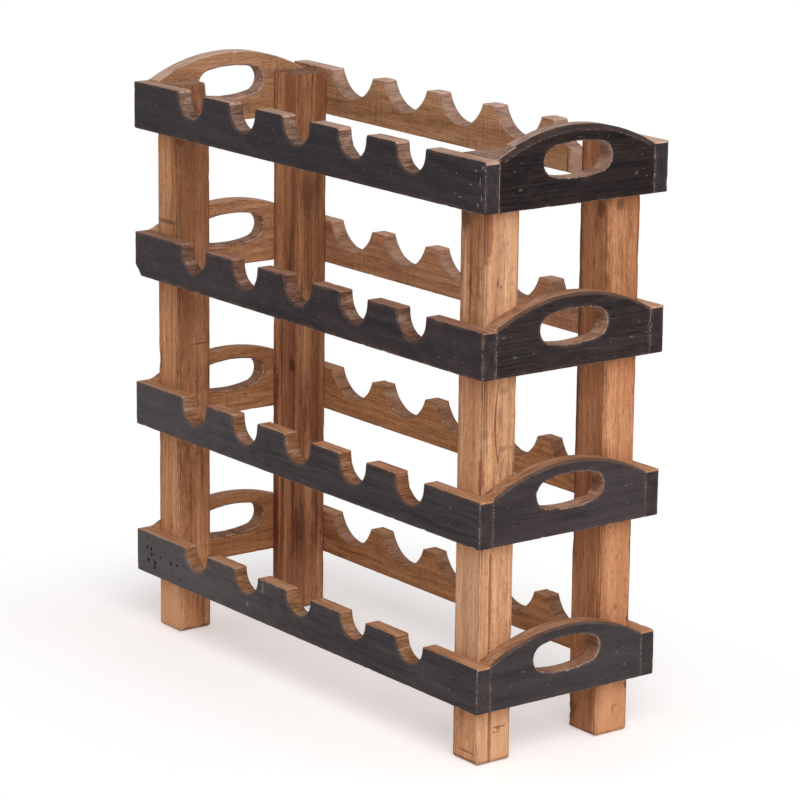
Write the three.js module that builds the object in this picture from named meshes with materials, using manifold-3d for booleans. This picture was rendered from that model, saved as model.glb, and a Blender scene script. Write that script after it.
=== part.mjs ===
// Four-tier wooden wine rack, in millimetres, +Z up.
// Four square posts carry four open trays. Each tray is a frame of four boards nailed round the
// posts: a front rail with narrow U-shaped notches, a back rail with wide round scallops, and two
// arched end boards with a hand-hole. A notch and the scallop behind it make one resting place.
// The origin is on the floor under the middle of the rack; the front, with the notches, is at -Y.
import * as THREE from "three";
import { mergeVertices } from "three/addons/utils/BufferGeometryUtils.js";
import Module from "manifold-3d";

// Overall sizes
const RACK_LENGTH = 600; // outer face of one end board to that of the other, along X
const RACK_DEPTH = 224.5; // front of the front rails to the back of the back rails, along Y
const FOOT_HEIGHT = 61; // floor to the underside of the lowest tray
const TIER_PITCH = 164.7; // underside to underside of the three lower trays
const TOP_PITCH = 158.7; // the same from the third tray to the top one
const JOINT_GAP = 0.3; // hairline between boards that butt or bear on each other

// Posts
const FRONT_POST_WIDTH = 38.5; // along X
const BACK_POST_WIDTH = 42;
const POST_DEPTH = 40; // along Y
const POST_ARRIS = 1.5; // worn corner of a post, also round its foot and its top

// Rails
const LOW_RAIL_HEIGHT = 46.3; // the lowest tray is of narrower boards
const RAIL_HEIGHT = 47;
const TOP_RAIL_HEIGHT = 50; // and the top tray of wider ones
const RAIL_THICK = 17;
const PLACES_PER_TIER = 5;
const PLACE_PITCH = 94.3; // middle to middle of neighbouring places
const NOTCH_WIDTH = 46; // front notch across its lips
const NOTCH_DEPTH = 27;
const LOW_NOTCH_WIDTH = 43.5; // the lowest front rail has smaller notches
const LOW_NOTCH_DEPTH = 22.5;
const NOTCH_FLARE = 6; // degrees by which each side of the front notch leans out
const SCALLOP_RADIUS = 39;
const SCALLOP_DEPTH = 27;
const LOW_FRONT_SHIFT = 2.5; // how far some rails' places are set out to the right
const THIRD_BACK_SHIFT = -3;
const TOP_SHIFT = -4;
const TOP_BACK_SLOPE = 0.009; // rise of the top back rail towards its left end, per unit of length

// End boards
const END_THICK = 19;
const ARCH_RISE = 25; // crown of the arch above the rail tops
const HOLE_LENGTH = 82.5;
const HOLE_HEIGHT = 34;
const HOLE_BOW = 3; // how far the long sides of the hand-hole bow out past its round ends
const HOLE_BASE = 25.5; // underside of the board to the bottom of the hand-hole
const THIRD_HOLE_BASE = 23.3;
const TRIM_LIP = 5; // outer skin of the top right board left standing where its inner part is cut down
const TRIM_LENGTH = 22; // how far that cut runs back from the front rail

// Old damage: a corner broken off the third tray's front rail
const CHIP_LENGTH = 11;
const CHIP_HEIGHT = 11.5;

// Facets on each round stretch of an outline
const ARC_STEPS = 14;

// Values that follow from the sizes above
const HALF_LENGTH = RACK_LENGTH / 2;
const HALF_DEPTH = RACK_DEPTH / 2;
const RAIL_INNER_Y = HALF_DEPTH - RAIL_THICK;
const END_INNER_X = HALF_LENGTH - END_THICK;
const FRONT_POST_X = END_INNER_X - JOINT_GAP - FRONT_POST_WIDTH / 2;
const BACK_POST_X = END_INNER_X - JOINT_GAP - BACK_POST_WIDTH / 2;
const POST_Y = RAIL_INNER_Y - JOINT_GAP - POST_DEPTH / 2;
const TOP_BASE = FOOT_HEIGHT + 2 * TIER_PITCH + TOP_PITCH;
const POST_HEIGHT = TOP_BASE + TOP_RAIL_HEIGHT;
const PLACE_CENTRES = Array.from(
  { length: PLACES_PER_TIER },
  (unused, place) => (place - (PLACES_PER_TIER - 1) / 2) * PLACE_PITCH,
);

// The boards of a common tray, and what is different about each tray from the lowest to the top one
const COMMON_TRAY = {
  height: RAIL_HEIGHT,
  notchWidth: NOTCH_WIDTH,
  notchDepth: NOTCH_DEPTH,
  frontShift: 0,
  backShift: 0,
  backSlope: 0,
  holeBase: HOLE_BASE,
};
const TRAYS = [
  {
    ...COMMON_TRAY,
    base: FOOT_HEIGHT,
    height: LOW_RAIL_HEIGHT,
    notchWidth: LOW_NOTCH_WIDTH,
    notchDepth: LOW_NOTCH_DEPTH,
    frontShift: LOW_FRONT_SHIFT,
  },
  { ...COMMON_TRAY, base: FOOT_HEIGHT + TIER_PITCH },
  {
    ...COMMON_TRAY,
    base: FOOT_HEIGHT + 2 * TIER_PITCH,
    backShift: THIRD_BACK_SHIFT,
    holeBase: THIRD_HOLE_BASE,
  },
  {
    ...COMMON_TRAY,
    base: TOP_BASE,
    height: TOP_RAIL_HEIGHT,
    frontShift: TOP_SHIFT,
    backShift: TOP_SHIFT,
    backSlope: TOP_BACK_SLOPE,
  },
];

const wasm = await Module();
wasm.setup();

// Finishes

const stainedWood = () =>
  new THREE.MeshStandardMaterial({ color: 0x40373a, roughness: 0.62, metalness: 0 });

const scallopWood = () =>
  new THREE.MeshStandardMaterial({ color: 0x8a5f42, roughness: 0.7, metalness: 0 });

const postWood = () =>
  new THREE.MeshStandardMaterial({ color: 0xb5835c, roughness: 0.7, metalness: 0 });

// Solids

function asSolid(geometry) {
  const bare = geometry.clone();
  bare.deleteAttribute("normal");
  bare.deleteAttribute("uv");
  const merged = mergeVertices(bare);
  return new wasm.Manifold(
    new wasm.Mesh({
      numProp: 3,
      vertProperties: merged.attributes.position.array,
      triVerts: new Uint32Array(merged.index.array),
    }),
  );
}

function asGeometry(solid) {
  const mesh = solid.getMesh();
  const geometry = new THREE.BufferGeometry();
  geometry.setAttribute("position", new THREE.BufferAttribute(mesh.vertProperties, 3));
  geometry.setIndex(new THREE.BufferAttribute(mesh.triVerts, 1));
  geometry.computeVertexNormals();
  return geometry;
}

function sawn(outline, thickness) {
  return new THREE.ExtrudeGeometry(outline, {
    depth: thickness,
    bevelEnabled: false,
    curveSegments: ARC_STEPS / 2, // an arc takes two steps for each of these
  });
}

function named(name, geometry, material) {
  const mesh = new THREE.Mesh(geometry, material);
  mesh.name = name;
  return mesh;
}

// Outlines of the rails, drawn as seen from the front: X to the right, height upwards

// Cuts one U with leaning sides into the top edge, which runs from right to left
function frontNotch(outline, centre, { height, notchWidth, notchDepth }) {
  const flare = THREE.MathUtils.degToRad(NOTCH_FLARE);
  const halfWidth = notchWidth / 2;
  const radius =
    (halfWidth - notchDepth * Math.tan(flare)) /
    (Math.cos(flare) - Math.tan(flare) * (1 - Math.sin(flare)));
  const arcHeight = height - notchDepth + radius;
  outline.lineTo(centre + halfWidth, height);
  outline.lineTo(centre + radius * Math.cos(flare), arcHeight - radius * Math.sin(flare));
  outline.absarc(centre, arcHeight, radius, -flare, Math.PI + flare, true);
  outline.lineTo(centre - halfWidth, height);
}

// Cuts one shallow round scallop into the top edge
function backScallop(outline, centre, { height }) {
  const lipAngle = Math.asin((SCALLOP_DEPTH - SCALLOP_RADIUS) / SCALLOP_RADIUS);
  const halfWidth = SCALLOP_RADIUS * Math.cos(lipAngle);
  const arcHeight = height - SCALLOP_DEPTH + SCALLOP_RADIUS;
  outline.lineTo(centre + halfWidth, height);
  outline.absarc(centre, arcHeight, SCALLOP_RADIUS, lipAngle, Math.PI - lipAngle, true);
}

function frontRailOutline(tray, hasBrokenCorner) {
  const outline = new THREE.Shape();
  if (hasBrokenCorner) {
    outline.moveTo(-HALF_LENGTH, CHIP_HEIGHT);
    outline.lineTo(-HALF_LENGTH + CHIP_LENGTH, 0);
  } else {
    outline.moveTo(-HALF_LENGTH, 0);
  }
  outline.lineTo(HALF_LENGTH, 0);
  outline.lineTo(HALF_LENGTH, tray.height);
  for (const centre of PLACE_CENTRES.toReversed()) {
    frontNotch(outline, centre + tray.frontShift, tray);
  }
  outline.lineTo(-HALF_LENGTH, tray.height);
  outline.closePath();
  return outline;
}

function backRailOutline(tray) {
  const outline = new THREE.Shape();
  outline.moveTo(-HALF_LENGTH, 0);
  outline.lineTo(HALF_LENGTH, 0);
  outline.lineTo(HALF_LENGTH, tray.height);
  for (const centre of PLACE_CENTRES.toReversed()) {
    backScallop(outline, centre + tray.backShift, tray);
  }
  outline.lineTo(-HALF_LENGTH, tray.height);
  outline.closePath();
  return outline;
}

// Outline of an end board, drawn as seen from the right end: Y to the right, height upwards

// An oval of four arcs that run into each other: two round ends and two bowed long sides
function handHole(holeBase) {
  const endRadius = HOLE_HEIGHT / 2 - HOLE_BOW;
  const endCentre = HOLE_LENGTH / 2 - endRadius;
  const middle = holeBase + HOLE_HEIGHT / 2;
  const sideRadius =
    (endCentre ** 2 + (HOLE_HEIGHT / 2) ** 2 - endRadius ** 2) / (2 * HOLE_BOW);
  const sideDrop = sideRadius - HOLE_HEIGHT / 2;
  const turn = Math.atan2(sideDrop, endCentre);
  const hole = new THREE.Path();
  hole.absarc(endCentre, middle, endRadius, -turn, turn, false);
  hole.absarc(0, middle - sideDrop, sideRadius, turn, Math.PI - turn, false);
  hole.absarc(-endCentre, middle, endRadius, Math.PI - turn, Math.PI + turn, false);
  hole.absarc(0, middle + sideDrop, sideRadius, Math.PI + turn, 2 * Math.PI - turn, false);
  return hole;
}

function endBoardOutline({ height, holeBase }) {
  const halfSpan = RAIL_INNER_Y - JOINT_GAP;
  const archRadius = (halfSpan ** 2 + ARCH_RISE ** 2) / (2 * ARCH_RISE);
  const archCentre = height + ARCH_RISE - archRadius;
  const springing = Math.atan2(height - archCentre, halfSpan);
  const outline = new THREE.Shape();
  outline.moveTo(-halfSpan, 0);
  outline.lineTo(halfSpan, 0);
  outline.lineTo(halfSpan, height);
  outline.absarc(0, archCentre, archRadius, springing, Math.PI - springing, false);
  outline.closePath();
  outline.holes.push(handHole(holeBase));
  return outline;
}

// Pieces

// A rail of a tray, whose left end stands higher than its right one if the slope says so
function rail(name, outline, frontFace, slope, material) {
  const geometry = sawn(outline, RAIL_THICK).rotateX(Math.PI / 2);
  if (slope !== 0) {
    geometry.applyMatrix4(new THREE.Matrix4().makeShear(0, -slope, 0, 0, 0, 0));
    geometry.translate(0, 0, slope * HALF_LENGTH);
  }
  const mesh = named(name, geometry, material);
  mesh.position.y = frontFace + RAIL_THICK;
  return mesh;
}

function endBoardGeometry(innerFace, tray) {
  const geometry = sawn(endBoardOutline(tray), END_THICK);
  return geometry.rotateX(Math.PI / 2).rotateZ(Math.PI / 2).translate(innerFace, 0, 0);
}

// Cuts the inner part of the arch down to the rail top, next to the front rail
function trimmedAtFront(geometry) {
  const width = END_THICK - TRIM_LIP + JOINT_GAP;
  const block = new THREE.BoxGeometry(width, TRIM_LENGTH + JOINT_GAP, 2 * ARCH_RISE);
  block.translate(
    END_INNER_X - JOINT_GAP + width / 2,
    -RAIL_INNER_Y + (TRIM_LENGTH - JOINT_GAP) / 2,
    TOP_RAIL_HEIGHT + ARCH_RISE,
  );
  return asGeometry(asSolid(geometry).subtract(asSolid(block)));
}

function post(name, width, x, y) {
  const halfWidth = width / 2;
  const halfDepth = POST_DEPTH / 2;
  const outline = new THREE.Shape();
  outline.moveTo(-halfWidth + POST_ARRIS, -halfDepth);
  outline.lineTo(halfWidth - POST_ARRIS, -halfDepth);
  outline.lineTo(halfWidth, -halfDepth + POST_ARRIS);
  outline.lineTo(halfWidth, halfDepth - POST_ARRIS);
  outline.lineTo(halfWidth - POST_ARRIS, halfDepth);
  outline.lineTo(-halfWidth + POST_ARRIS, halfDepth);
  outline.lineTo(-halfWidth, halfDepth - POST_ARRIS);
  outline.lineTo(-halfWidth, -halfDepth + POST_ARRIS);
  outline.closePath();
  const geometry = new THREE.ExtrudeGeometry(outline, {
    depth: POST_HEIGHT - 2 * POST_ARRIS,
    bevelEnabled: true,
    bevelThickness: POST_ARRIS,
    bevelSize: POST_ARRIS,
    bevelOffset: -POST_ARRIS,
    bevelSegments: 1,
  });
  geometry.translate(0, 0, POST_ARRIS);
  const mesh = named(name, geometry, postWood());
  mesh.position.set(x, y, 0);
  return mesh;
}

function trayGroup(number, tray) {
  const group = new THREE.Group();
  const isTop = number === TRAYS.length;
  const hasBrokenCorner = number === TRAYS.length - 1;
  const prefix = `tier${number}_`;
  const frontOutline = frontRailOutline(tray, hasBrokenCorner);
  const backOutline = backRailOutline(tray);
  const left = endBoardGeometry(-HALF_LENGTH, tray);
  const right = endBoardGeometry(END_INNER_X, tray);
  group.add(
    rail(`${prefix}front_rail`, frontOutline, -HALF_DEPTH, 0, stainedWood()),
    rail(`${prefix}back_rail`, backOutline, RAIL_INNER_Y, tray.backSlope, scallopWood()),
    named(`${prefix}left_end_board`, left, stainedWood()),
    named(`${prefix}right_end_board`, isTop ? trimmedAtFront(right) : right, stainedWood()),
  );
  group.position.z = tray.base;
  return group;
}

// The rack

const rack = new THREE.Group();
rack.name = "wine_rack";
rack.add(
  post("front_left_post", FRONT_POST_WIDTH, -FRONT_POST_X, -POST_Y),
  post("front_right_post", FRONT_POST_WIDTH, FRONT_POST_X, -POST_Y),
  post("back_left_post", BACK_POST_WIDTH, -BACK_POST_X, POST_Y),
  post("back_right_post", BACK_POST_WIDTH, BACK_POST_X, POST_Y),
);
TRAYS.forEach((tray, index) => rack.add(trayGroup(index + 1, tray)));

export default rack;
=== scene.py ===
"""Looks of the four-tier wooden wine rack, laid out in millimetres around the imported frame.

Worn reclaimed boards and posts: dark stained outer faces, bare inner faces and edges, round worn arrises
with small chips, saw ridges in every cut, and nail heads at every joint.
"""

import logging
import math
from dataclasses import dataclass, replace
from enum import Enum
from typing import Any

import bmesh
import bpy
import numpy as np
from mathutils import Matrix, Vector
from mathutils.geometry import delaunay_2d_cdt


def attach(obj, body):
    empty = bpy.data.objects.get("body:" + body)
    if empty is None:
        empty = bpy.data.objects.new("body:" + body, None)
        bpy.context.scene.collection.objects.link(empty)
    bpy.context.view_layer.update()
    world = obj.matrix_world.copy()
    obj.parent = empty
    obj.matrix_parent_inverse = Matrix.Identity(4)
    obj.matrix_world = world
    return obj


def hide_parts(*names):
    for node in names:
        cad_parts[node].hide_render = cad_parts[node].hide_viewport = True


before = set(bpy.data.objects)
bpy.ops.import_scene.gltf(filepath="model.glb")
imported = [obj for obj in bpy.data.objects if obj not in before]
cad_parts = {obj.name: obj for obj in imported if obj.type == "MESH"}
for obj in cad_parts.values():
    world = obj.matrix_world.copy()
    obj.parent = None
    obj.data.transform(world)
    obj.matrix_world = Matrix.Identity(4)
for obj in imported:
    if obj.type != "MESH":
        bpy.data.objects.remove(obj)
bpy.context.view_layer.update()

LOG = logging.getLogger("wine_rack")
MM = 0.001
BODY = "root"
SKIN = 0.3  # how far the wood lies inside the solid's outer face, so that nail heads stay in the box
LAYERS = ("worn", "stain", "sawn", "path")  # values that each point of a wooden piece carries
SHARP_ANGLE = math.radians(48)
MERGE_REACH, THINNEST = 0.00001, 0.000004  # metres
FILL_REACH = 0.00001  # millimetres
ARRIS_WEAR = 0.75  # how worn the two sides of a rounded arris are

Colour = tuple[float, float, float, float]
Point2 = tuple[float, float]
Point3 = tuple[float, float, float]
Span = tuple[float, float]
Faces = list[tuple[int, ...]]
Socket = bpy.types.NodeSocket


def srgb(red: int, green: int, blue: int) -> Colour:
    """Turns a colour as seen on screen into the linear one that shaders take.

    Args:
        red: red, 0 to 255.
        green: green, 0 to 255.
        blue: blue, 0 to 255.

    Returns:
        The linear colour with full alpha.
    """
    linear = []
    for value in (red, green, blue):
        share = value / 255
        linear.append(share / 12.92 if share <= 0.04045 else ((share + 0.055) / 1.055) ** 2.4)
    return (linear[0], linear[1], linear[2], 1.0)


WHITE = srgb(255, 255, 255)


# Outlines of the boards


@dataclass(frozen=True)
class Edge:
    """How much a stretch of an outline is sawn and stained, and the flat bevel on its outer arris."""

    sawn: float = 0.0
    stained: float = 0.0
    bevel: float = 0.0
    bevel_stain: float = 0.0


PLAIN, STAINED, TOP_CUT, WALL, BREAK = Edge(), Edge(stained=1.0), Edge(sawn=0.3), Edge(sawn=1.0), Edge(sawn=0.4)


def left_of(heading: np.ndarray) -> np.ndarray:
    """Turns headings a quarter to the left."""
    return np.stack([-heading[..., 1], heading[..., 0]], -1)


def arris_wear(share: float) -> float:
    """Tells how worn an arris is, from one side of its rounding at 0 to the other at 1."""
    return ARRIS_WEAR + (1 - ARRIS_WEAR) * math.sin(math.pi * share)


@dataclass(frozen=True)
class Straight:
    """A straight stretch of an outline."""

    start: Point2
    end: Point2
    edge: Edge = PLAIN

    @property
    def length(self) -> float:
        """Length of the stretch."""
        return math.dist(self.start, self.end)

    def at(self, travel: np.ndarray) -> tuple[np.ndarray, np.ndarray]:
        """Finds points on the stretch.

        Args:
            travel: distances from its start.

        Returns:
            The points, and the unit headings there.
        """
        heading = (np.array(self.end) - self.start) / self.length
        points = np.array(self.start) + travel[:, None] * heading
        return points, np.broadcast_to(heading, points.shape)


@dataclass(frozen=True)
class Bend:
    """A round stretch of an outline, turning left where its sweep is positive."""

    centre: Point2
    radius: float
    start: float
    sweep: float
    edge: Edge = WALL

    @property
    def length(self) -> float:
        """Length of the stretch."""
        return self.radius * abs(self.sweep)

    def at(self, travel: np.ndarray) -> tuple[np.ndarray, np.ndarray]:
        """Finds points on the stretch.

        Args:
            travel: distances from its start.

        Returns:
            The points, and the unit headings there.
        """
        side = math.copysign(1.0, self.sweep)
        angle = self.start + side * travel / self.radius
        ray = np.stack([np.cos(angle), np.sin(angle)], -1)
        return np.array(self.centre) + self.radius * ray, side * left_of(ray)


Stretch = Straight | Bend


class Outline:
    """A closed outline with the wood on its left, sampled along its length."""

    PLAIN_STEP = 1.7
    SAWN_STEP = 1.0
    CORNER_SAMPLES = 5
    SMOOTH_TURN = math.radians(3)
    ROUGH_CUT = 0.5  # share of sawing from which the samples stand closer

    def __init__(self, stretches: list[Stretch], corner_radius: float = 1.2, rubbed: float = 0.0) -> None:
        """Samples the stretches and rounds the corners between them.

        Args:
            stretches: the stretches in order, each starting where the last one ends.
            corner_radius: radius of the rounded corners.
            rubbed: how much rounder than usual hands have rubbed its arrises.
        """
        self.stretches, self.corner_radius, self.rubbed = stretches, corner_radius, rubbed
        self.heads = [s.at(np.array([0.0]))[1][0] for s in stretches]
        self.tails = [s.at(np.array([s.length]))[1][0] for s in stretches]
        self.turns = [self._turn(i) for i in range(len(stretches))]
        self.on_corner: list[np.ndarray] = []
        self.on_stretch: list[np.ndarray] = []
        self.fraction: list[np.ndarray] = []
        self.total = 0.0
        path: list[float] = []
        stained: list[float] = []
        edges: list[Edge] = []
        for index, stretch in enumerate(stretches):
            corners = self.CORNER_SAMPLES if self.turns[index] else 0
            both = (stretches[index - 1].edge, stretch.edge)
            pick = min if max(edge.sawn for edge in both) > 0 else max
            step = self.SAWN_STEP if stretch.edge.sawn > self.ROUGH_CUT else self.PLAIN_STEP
            count = max(round(stretch.length / step), 2)
            fraction = np.arange(1 if corners else 0, count) / count
            first = len(path) + corners
            self.on_corner.append(np.arange(len(path), first))
            self.on_stretch.append(np.arange(first, first + len(fraction)))
            self.fraction.append(fraction)
            path += [self.total] * corners + list(self.total + fraction * stretch.length)
            stained += [pick(edge.stained for edge in both)] * corners + [stretch.edge.stained] * len(fraction)
            edges += [stretch.edge] * (corners + len(fraction))
            self.total += stretch.length
        self.count = len(path)
        self.path, self.stained = np.array(path), np.array(stained)
        self.sawn, self.bevel, self.bevel_stain = np.array([(e.sawn, e.bevel, e.bevel_stain) for e in edges]).T

    def _turn(self, index: int) -> float:
        """Finds the angle of the sharp corner before a stretch.

        Args:
            index: number of the stretch.

        Returns:
            The angle, or 0 where the outline runs on smoothly.
        """
        before, after = self.tails[index - 1], self.heads[index]
        turn = math.atan2(before[0] * after[1] - before[1] * after[0], float(before @ after))
        return turn if turn > self.SMOOTH_TURN else 0.0

    def loop(self, inset: np.ndarray) -> np.ndarray:
        """Places every sample, moved into the wood.

        Args:
            inset: how far each sample is moved in.

        Returns:
            The points in the board's own plane.
        """
        points = np.empty((self.count, 2))
        reach = np.maximum(inset, self.corner_radius)
        for index, stretch in enumerate(self.stretches):
            turn = self.turns[index]
            head = math.tan(turn / 2)
            tail = math.tan(self.turns[(index + 1) % len(self.stretches)] / 2)
            here = self.on_stretch[index]
            room = stretch.length - (head + tail) * reach[here]
            spots, heading = stretch.at(head * reach[here] + self.fraction[index] * room)
            points[here] = spots + left_of(heading) * inset[here, None]
            here = self.on_corner[index]
            if len(here):
                before, after = left_of(self.tails[index - 1]), left_of(self.heads[index])
                corner = stretch.at(np.array([0.0]))[0][0]
                share = np.linspace(0, 1, len(here))[:, None]
                ray = -(np.sin((1 - share) * turn) * before + np.sin(share * turn) * after) / math.sin(turn)
                centre = corner + (before + after) / (1 + math.cos(turn)) * reach[here, None]
                points[here] = centre + ray * (reach - inset)[here, None]
        return points


@dataclass(frozen=True)
class Wear:
    """Rounding and chips along the arrises of a piece, and the saw ridges in its cuts."""

    seed: int
    radius: float = 0.6
    knot_gap: float = 6.0
    swing: Span = (0.55, 1.45)
    chip_gap: float = 55.0
    chip_halves: Span = (1.6, 6.0)
    chip_depth: float = 1.4
    chip_shares: Span = (0.2, 1.0)
    deepest: float = 3.4
    ridge_gap: float = 2.1

    FEWEST_KNOTS = 4
    CHIP_POWER, RIDGE_POWER = 1.6, 1.5  # the higher, the more of them are shallow
    RIDGES = 99  # number of the ridges among the seeds

    def radii(self, path: np.ndarray, total: float, side: int) -> np.ndarray:
        """Gives the arris radius along a closed path.

        Args:
            path: distances along the path.
            total: length of the path.
            side: number of the arris, which picks its own chips.

        Returns:
            The radius at each distance.
        """
        rng = np.random.default_rng([self.seed, side])
        knots = max(int(total / self.knot_gap), self.FEWEST_KNOTS)
        values = rng.uniform(*self.swing, knots)
        radii = self.radius * np.interp(path / total * knots, np.arange(knots + 1), [*values, values[0]])
        for _ in range(int(total / self.chip_gap)):
            spot, half = rng.uniform(0, total), rng.uniform(*self.chip_halves)
            depth = self.chip_depth * rng.uniform(*self.chip_shares) ** self.CHIP_POWER
            gap = np.abs((path - spot + total / 2) % total - total / 2)
            radii = radii + depth * np.clip(1 - (gap / half) ** 2, 0, 1)
        return np.minimum(radii, self.deepest)

    def ridges(self, path: np.ndarray, total: float) -> np.ndarray:
        """Gives the depth of the saw ridges along a path.

        Args:
            path: distances along the path.
            total: length of the path.

        Returns:
            Depths from 0 to 1.
        """
        rng = np.random.default_rng([self.seed, self.RIDGES])
        knots = max(int(total / self.ridge_gap), self.FEWEST_KNOTS)
        values = rng.uniform(0, 1, knots + 1) ** self.RIDGE_POWER
        return np.interp(path / total * knots, np.arange(knots + 1), values)


def place_in_scene(name: str, data: bpy.types.ID) -> bpy.types.Object:
    """Makes an object of a mesh, a lamp or a camera.

    Args:
        name: its name.
        data: the mesh, lamp or camera.

    Returns:
        The object, at the origin.
    """
    made = bpy.data.objects.new(name, data)
    bpy.context.scene.collection.objects.link(made)
    return made


def settle(piece: bpy.types.Object) -> bpy.types.Mesh:
    """Gives a piece the mesh that its modifiers make, and drops them.

    Args:
        piece: the piece.

    Returns:
        Its new mesh.
    """
    mesh = bpy.data.meshes.new_from_object(piece.evaluated_get(bpy.context.evaluated_depsgraph_get()))
    piece.modifiers.clear()
    piece.data = mesh
    return mesh


def mesh_object(name: str, points: np.ndarray, faces: Faces, layers: dict[str, np.ndarray]) -> bpy.types.Object:
    """Makes a closed, clean, smooth piece of points given in millimetres.

    Args:
        name: name of the piece.
        points: its points.
        faces: point numbers of each face.
        layers: named values, one for each point.

    Returns:
        The new object, at the origin.
    """
    mesh = bpy.data.meshes.new(name)
    mesh.from_pydata((points * MM).tolist(), [], faces)
    for layer, values in layers.items():
        attribute = mesh.attributes.new(layer, "FLOAT", "POINT")
        attribute.data.foreach_set("value", values.astype(np.float32))
    work = bmesh.new()
    work.from_mesh(mesh)
    bmesh.ops.remove_doubles(work, verts=work.verts, dist=MERGE_REACH)
    bmesh.ops.dissolve_degenerate(work, edges=work.edges, dist=THINNEST)
    bmesh.ops.recalc_face_normals(work, faces=work.faces)
    for face in work.faces:
        face.smooth = True
    work.to_mesh(mesh)
    work.free()
    mesh.set_sharp_from_angle(angle=SHARP_ANGLE)
    return place_in_scene(name, mesh)


def ring_faces(first: int, rows: int, count: int) -> Faces:
    """Joins closed rings of points, one to the next.

    Args:
        first: number of the first point.
        rows: number of rings.
        count: points in each ring.

    Returns:
        The four-sided faces, as point numbers.
    """
    faces: Faces = []
    for low in range(first, first + (rows - 1) * count, count):
        high = low + count
        faces += [(low + i, low + (i + 1) % count, high + (i + 1) % count, high + i) for i in range(count)]
    return faces


@dataclass(frozen=True)
class Place:
    """Where a board's own plane lies in the rack: u along it, v up, w in from its outer face."""

    origin: Point3
    along: Point3
    inward: Point3
    slope: float = 0.0

    def put(self, flat: np.ndarray, deep: np.ndarray) -> np.ndarray:
        """Moves points of the board's plane into the rack.

        Args:
            flat: points in the board's plane.
            deep: depths below its outer face.

        Returns:
            The points in the rack.
        """
        u, v = flat[:, 0], flat[:, 1]
        points = np.array(self.origin) + u[:, None] * np.array(self.along) + deep[:, None] * np.array(self.inward)
        points[:, 2] += v - self.slope * u
        return points


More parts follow.
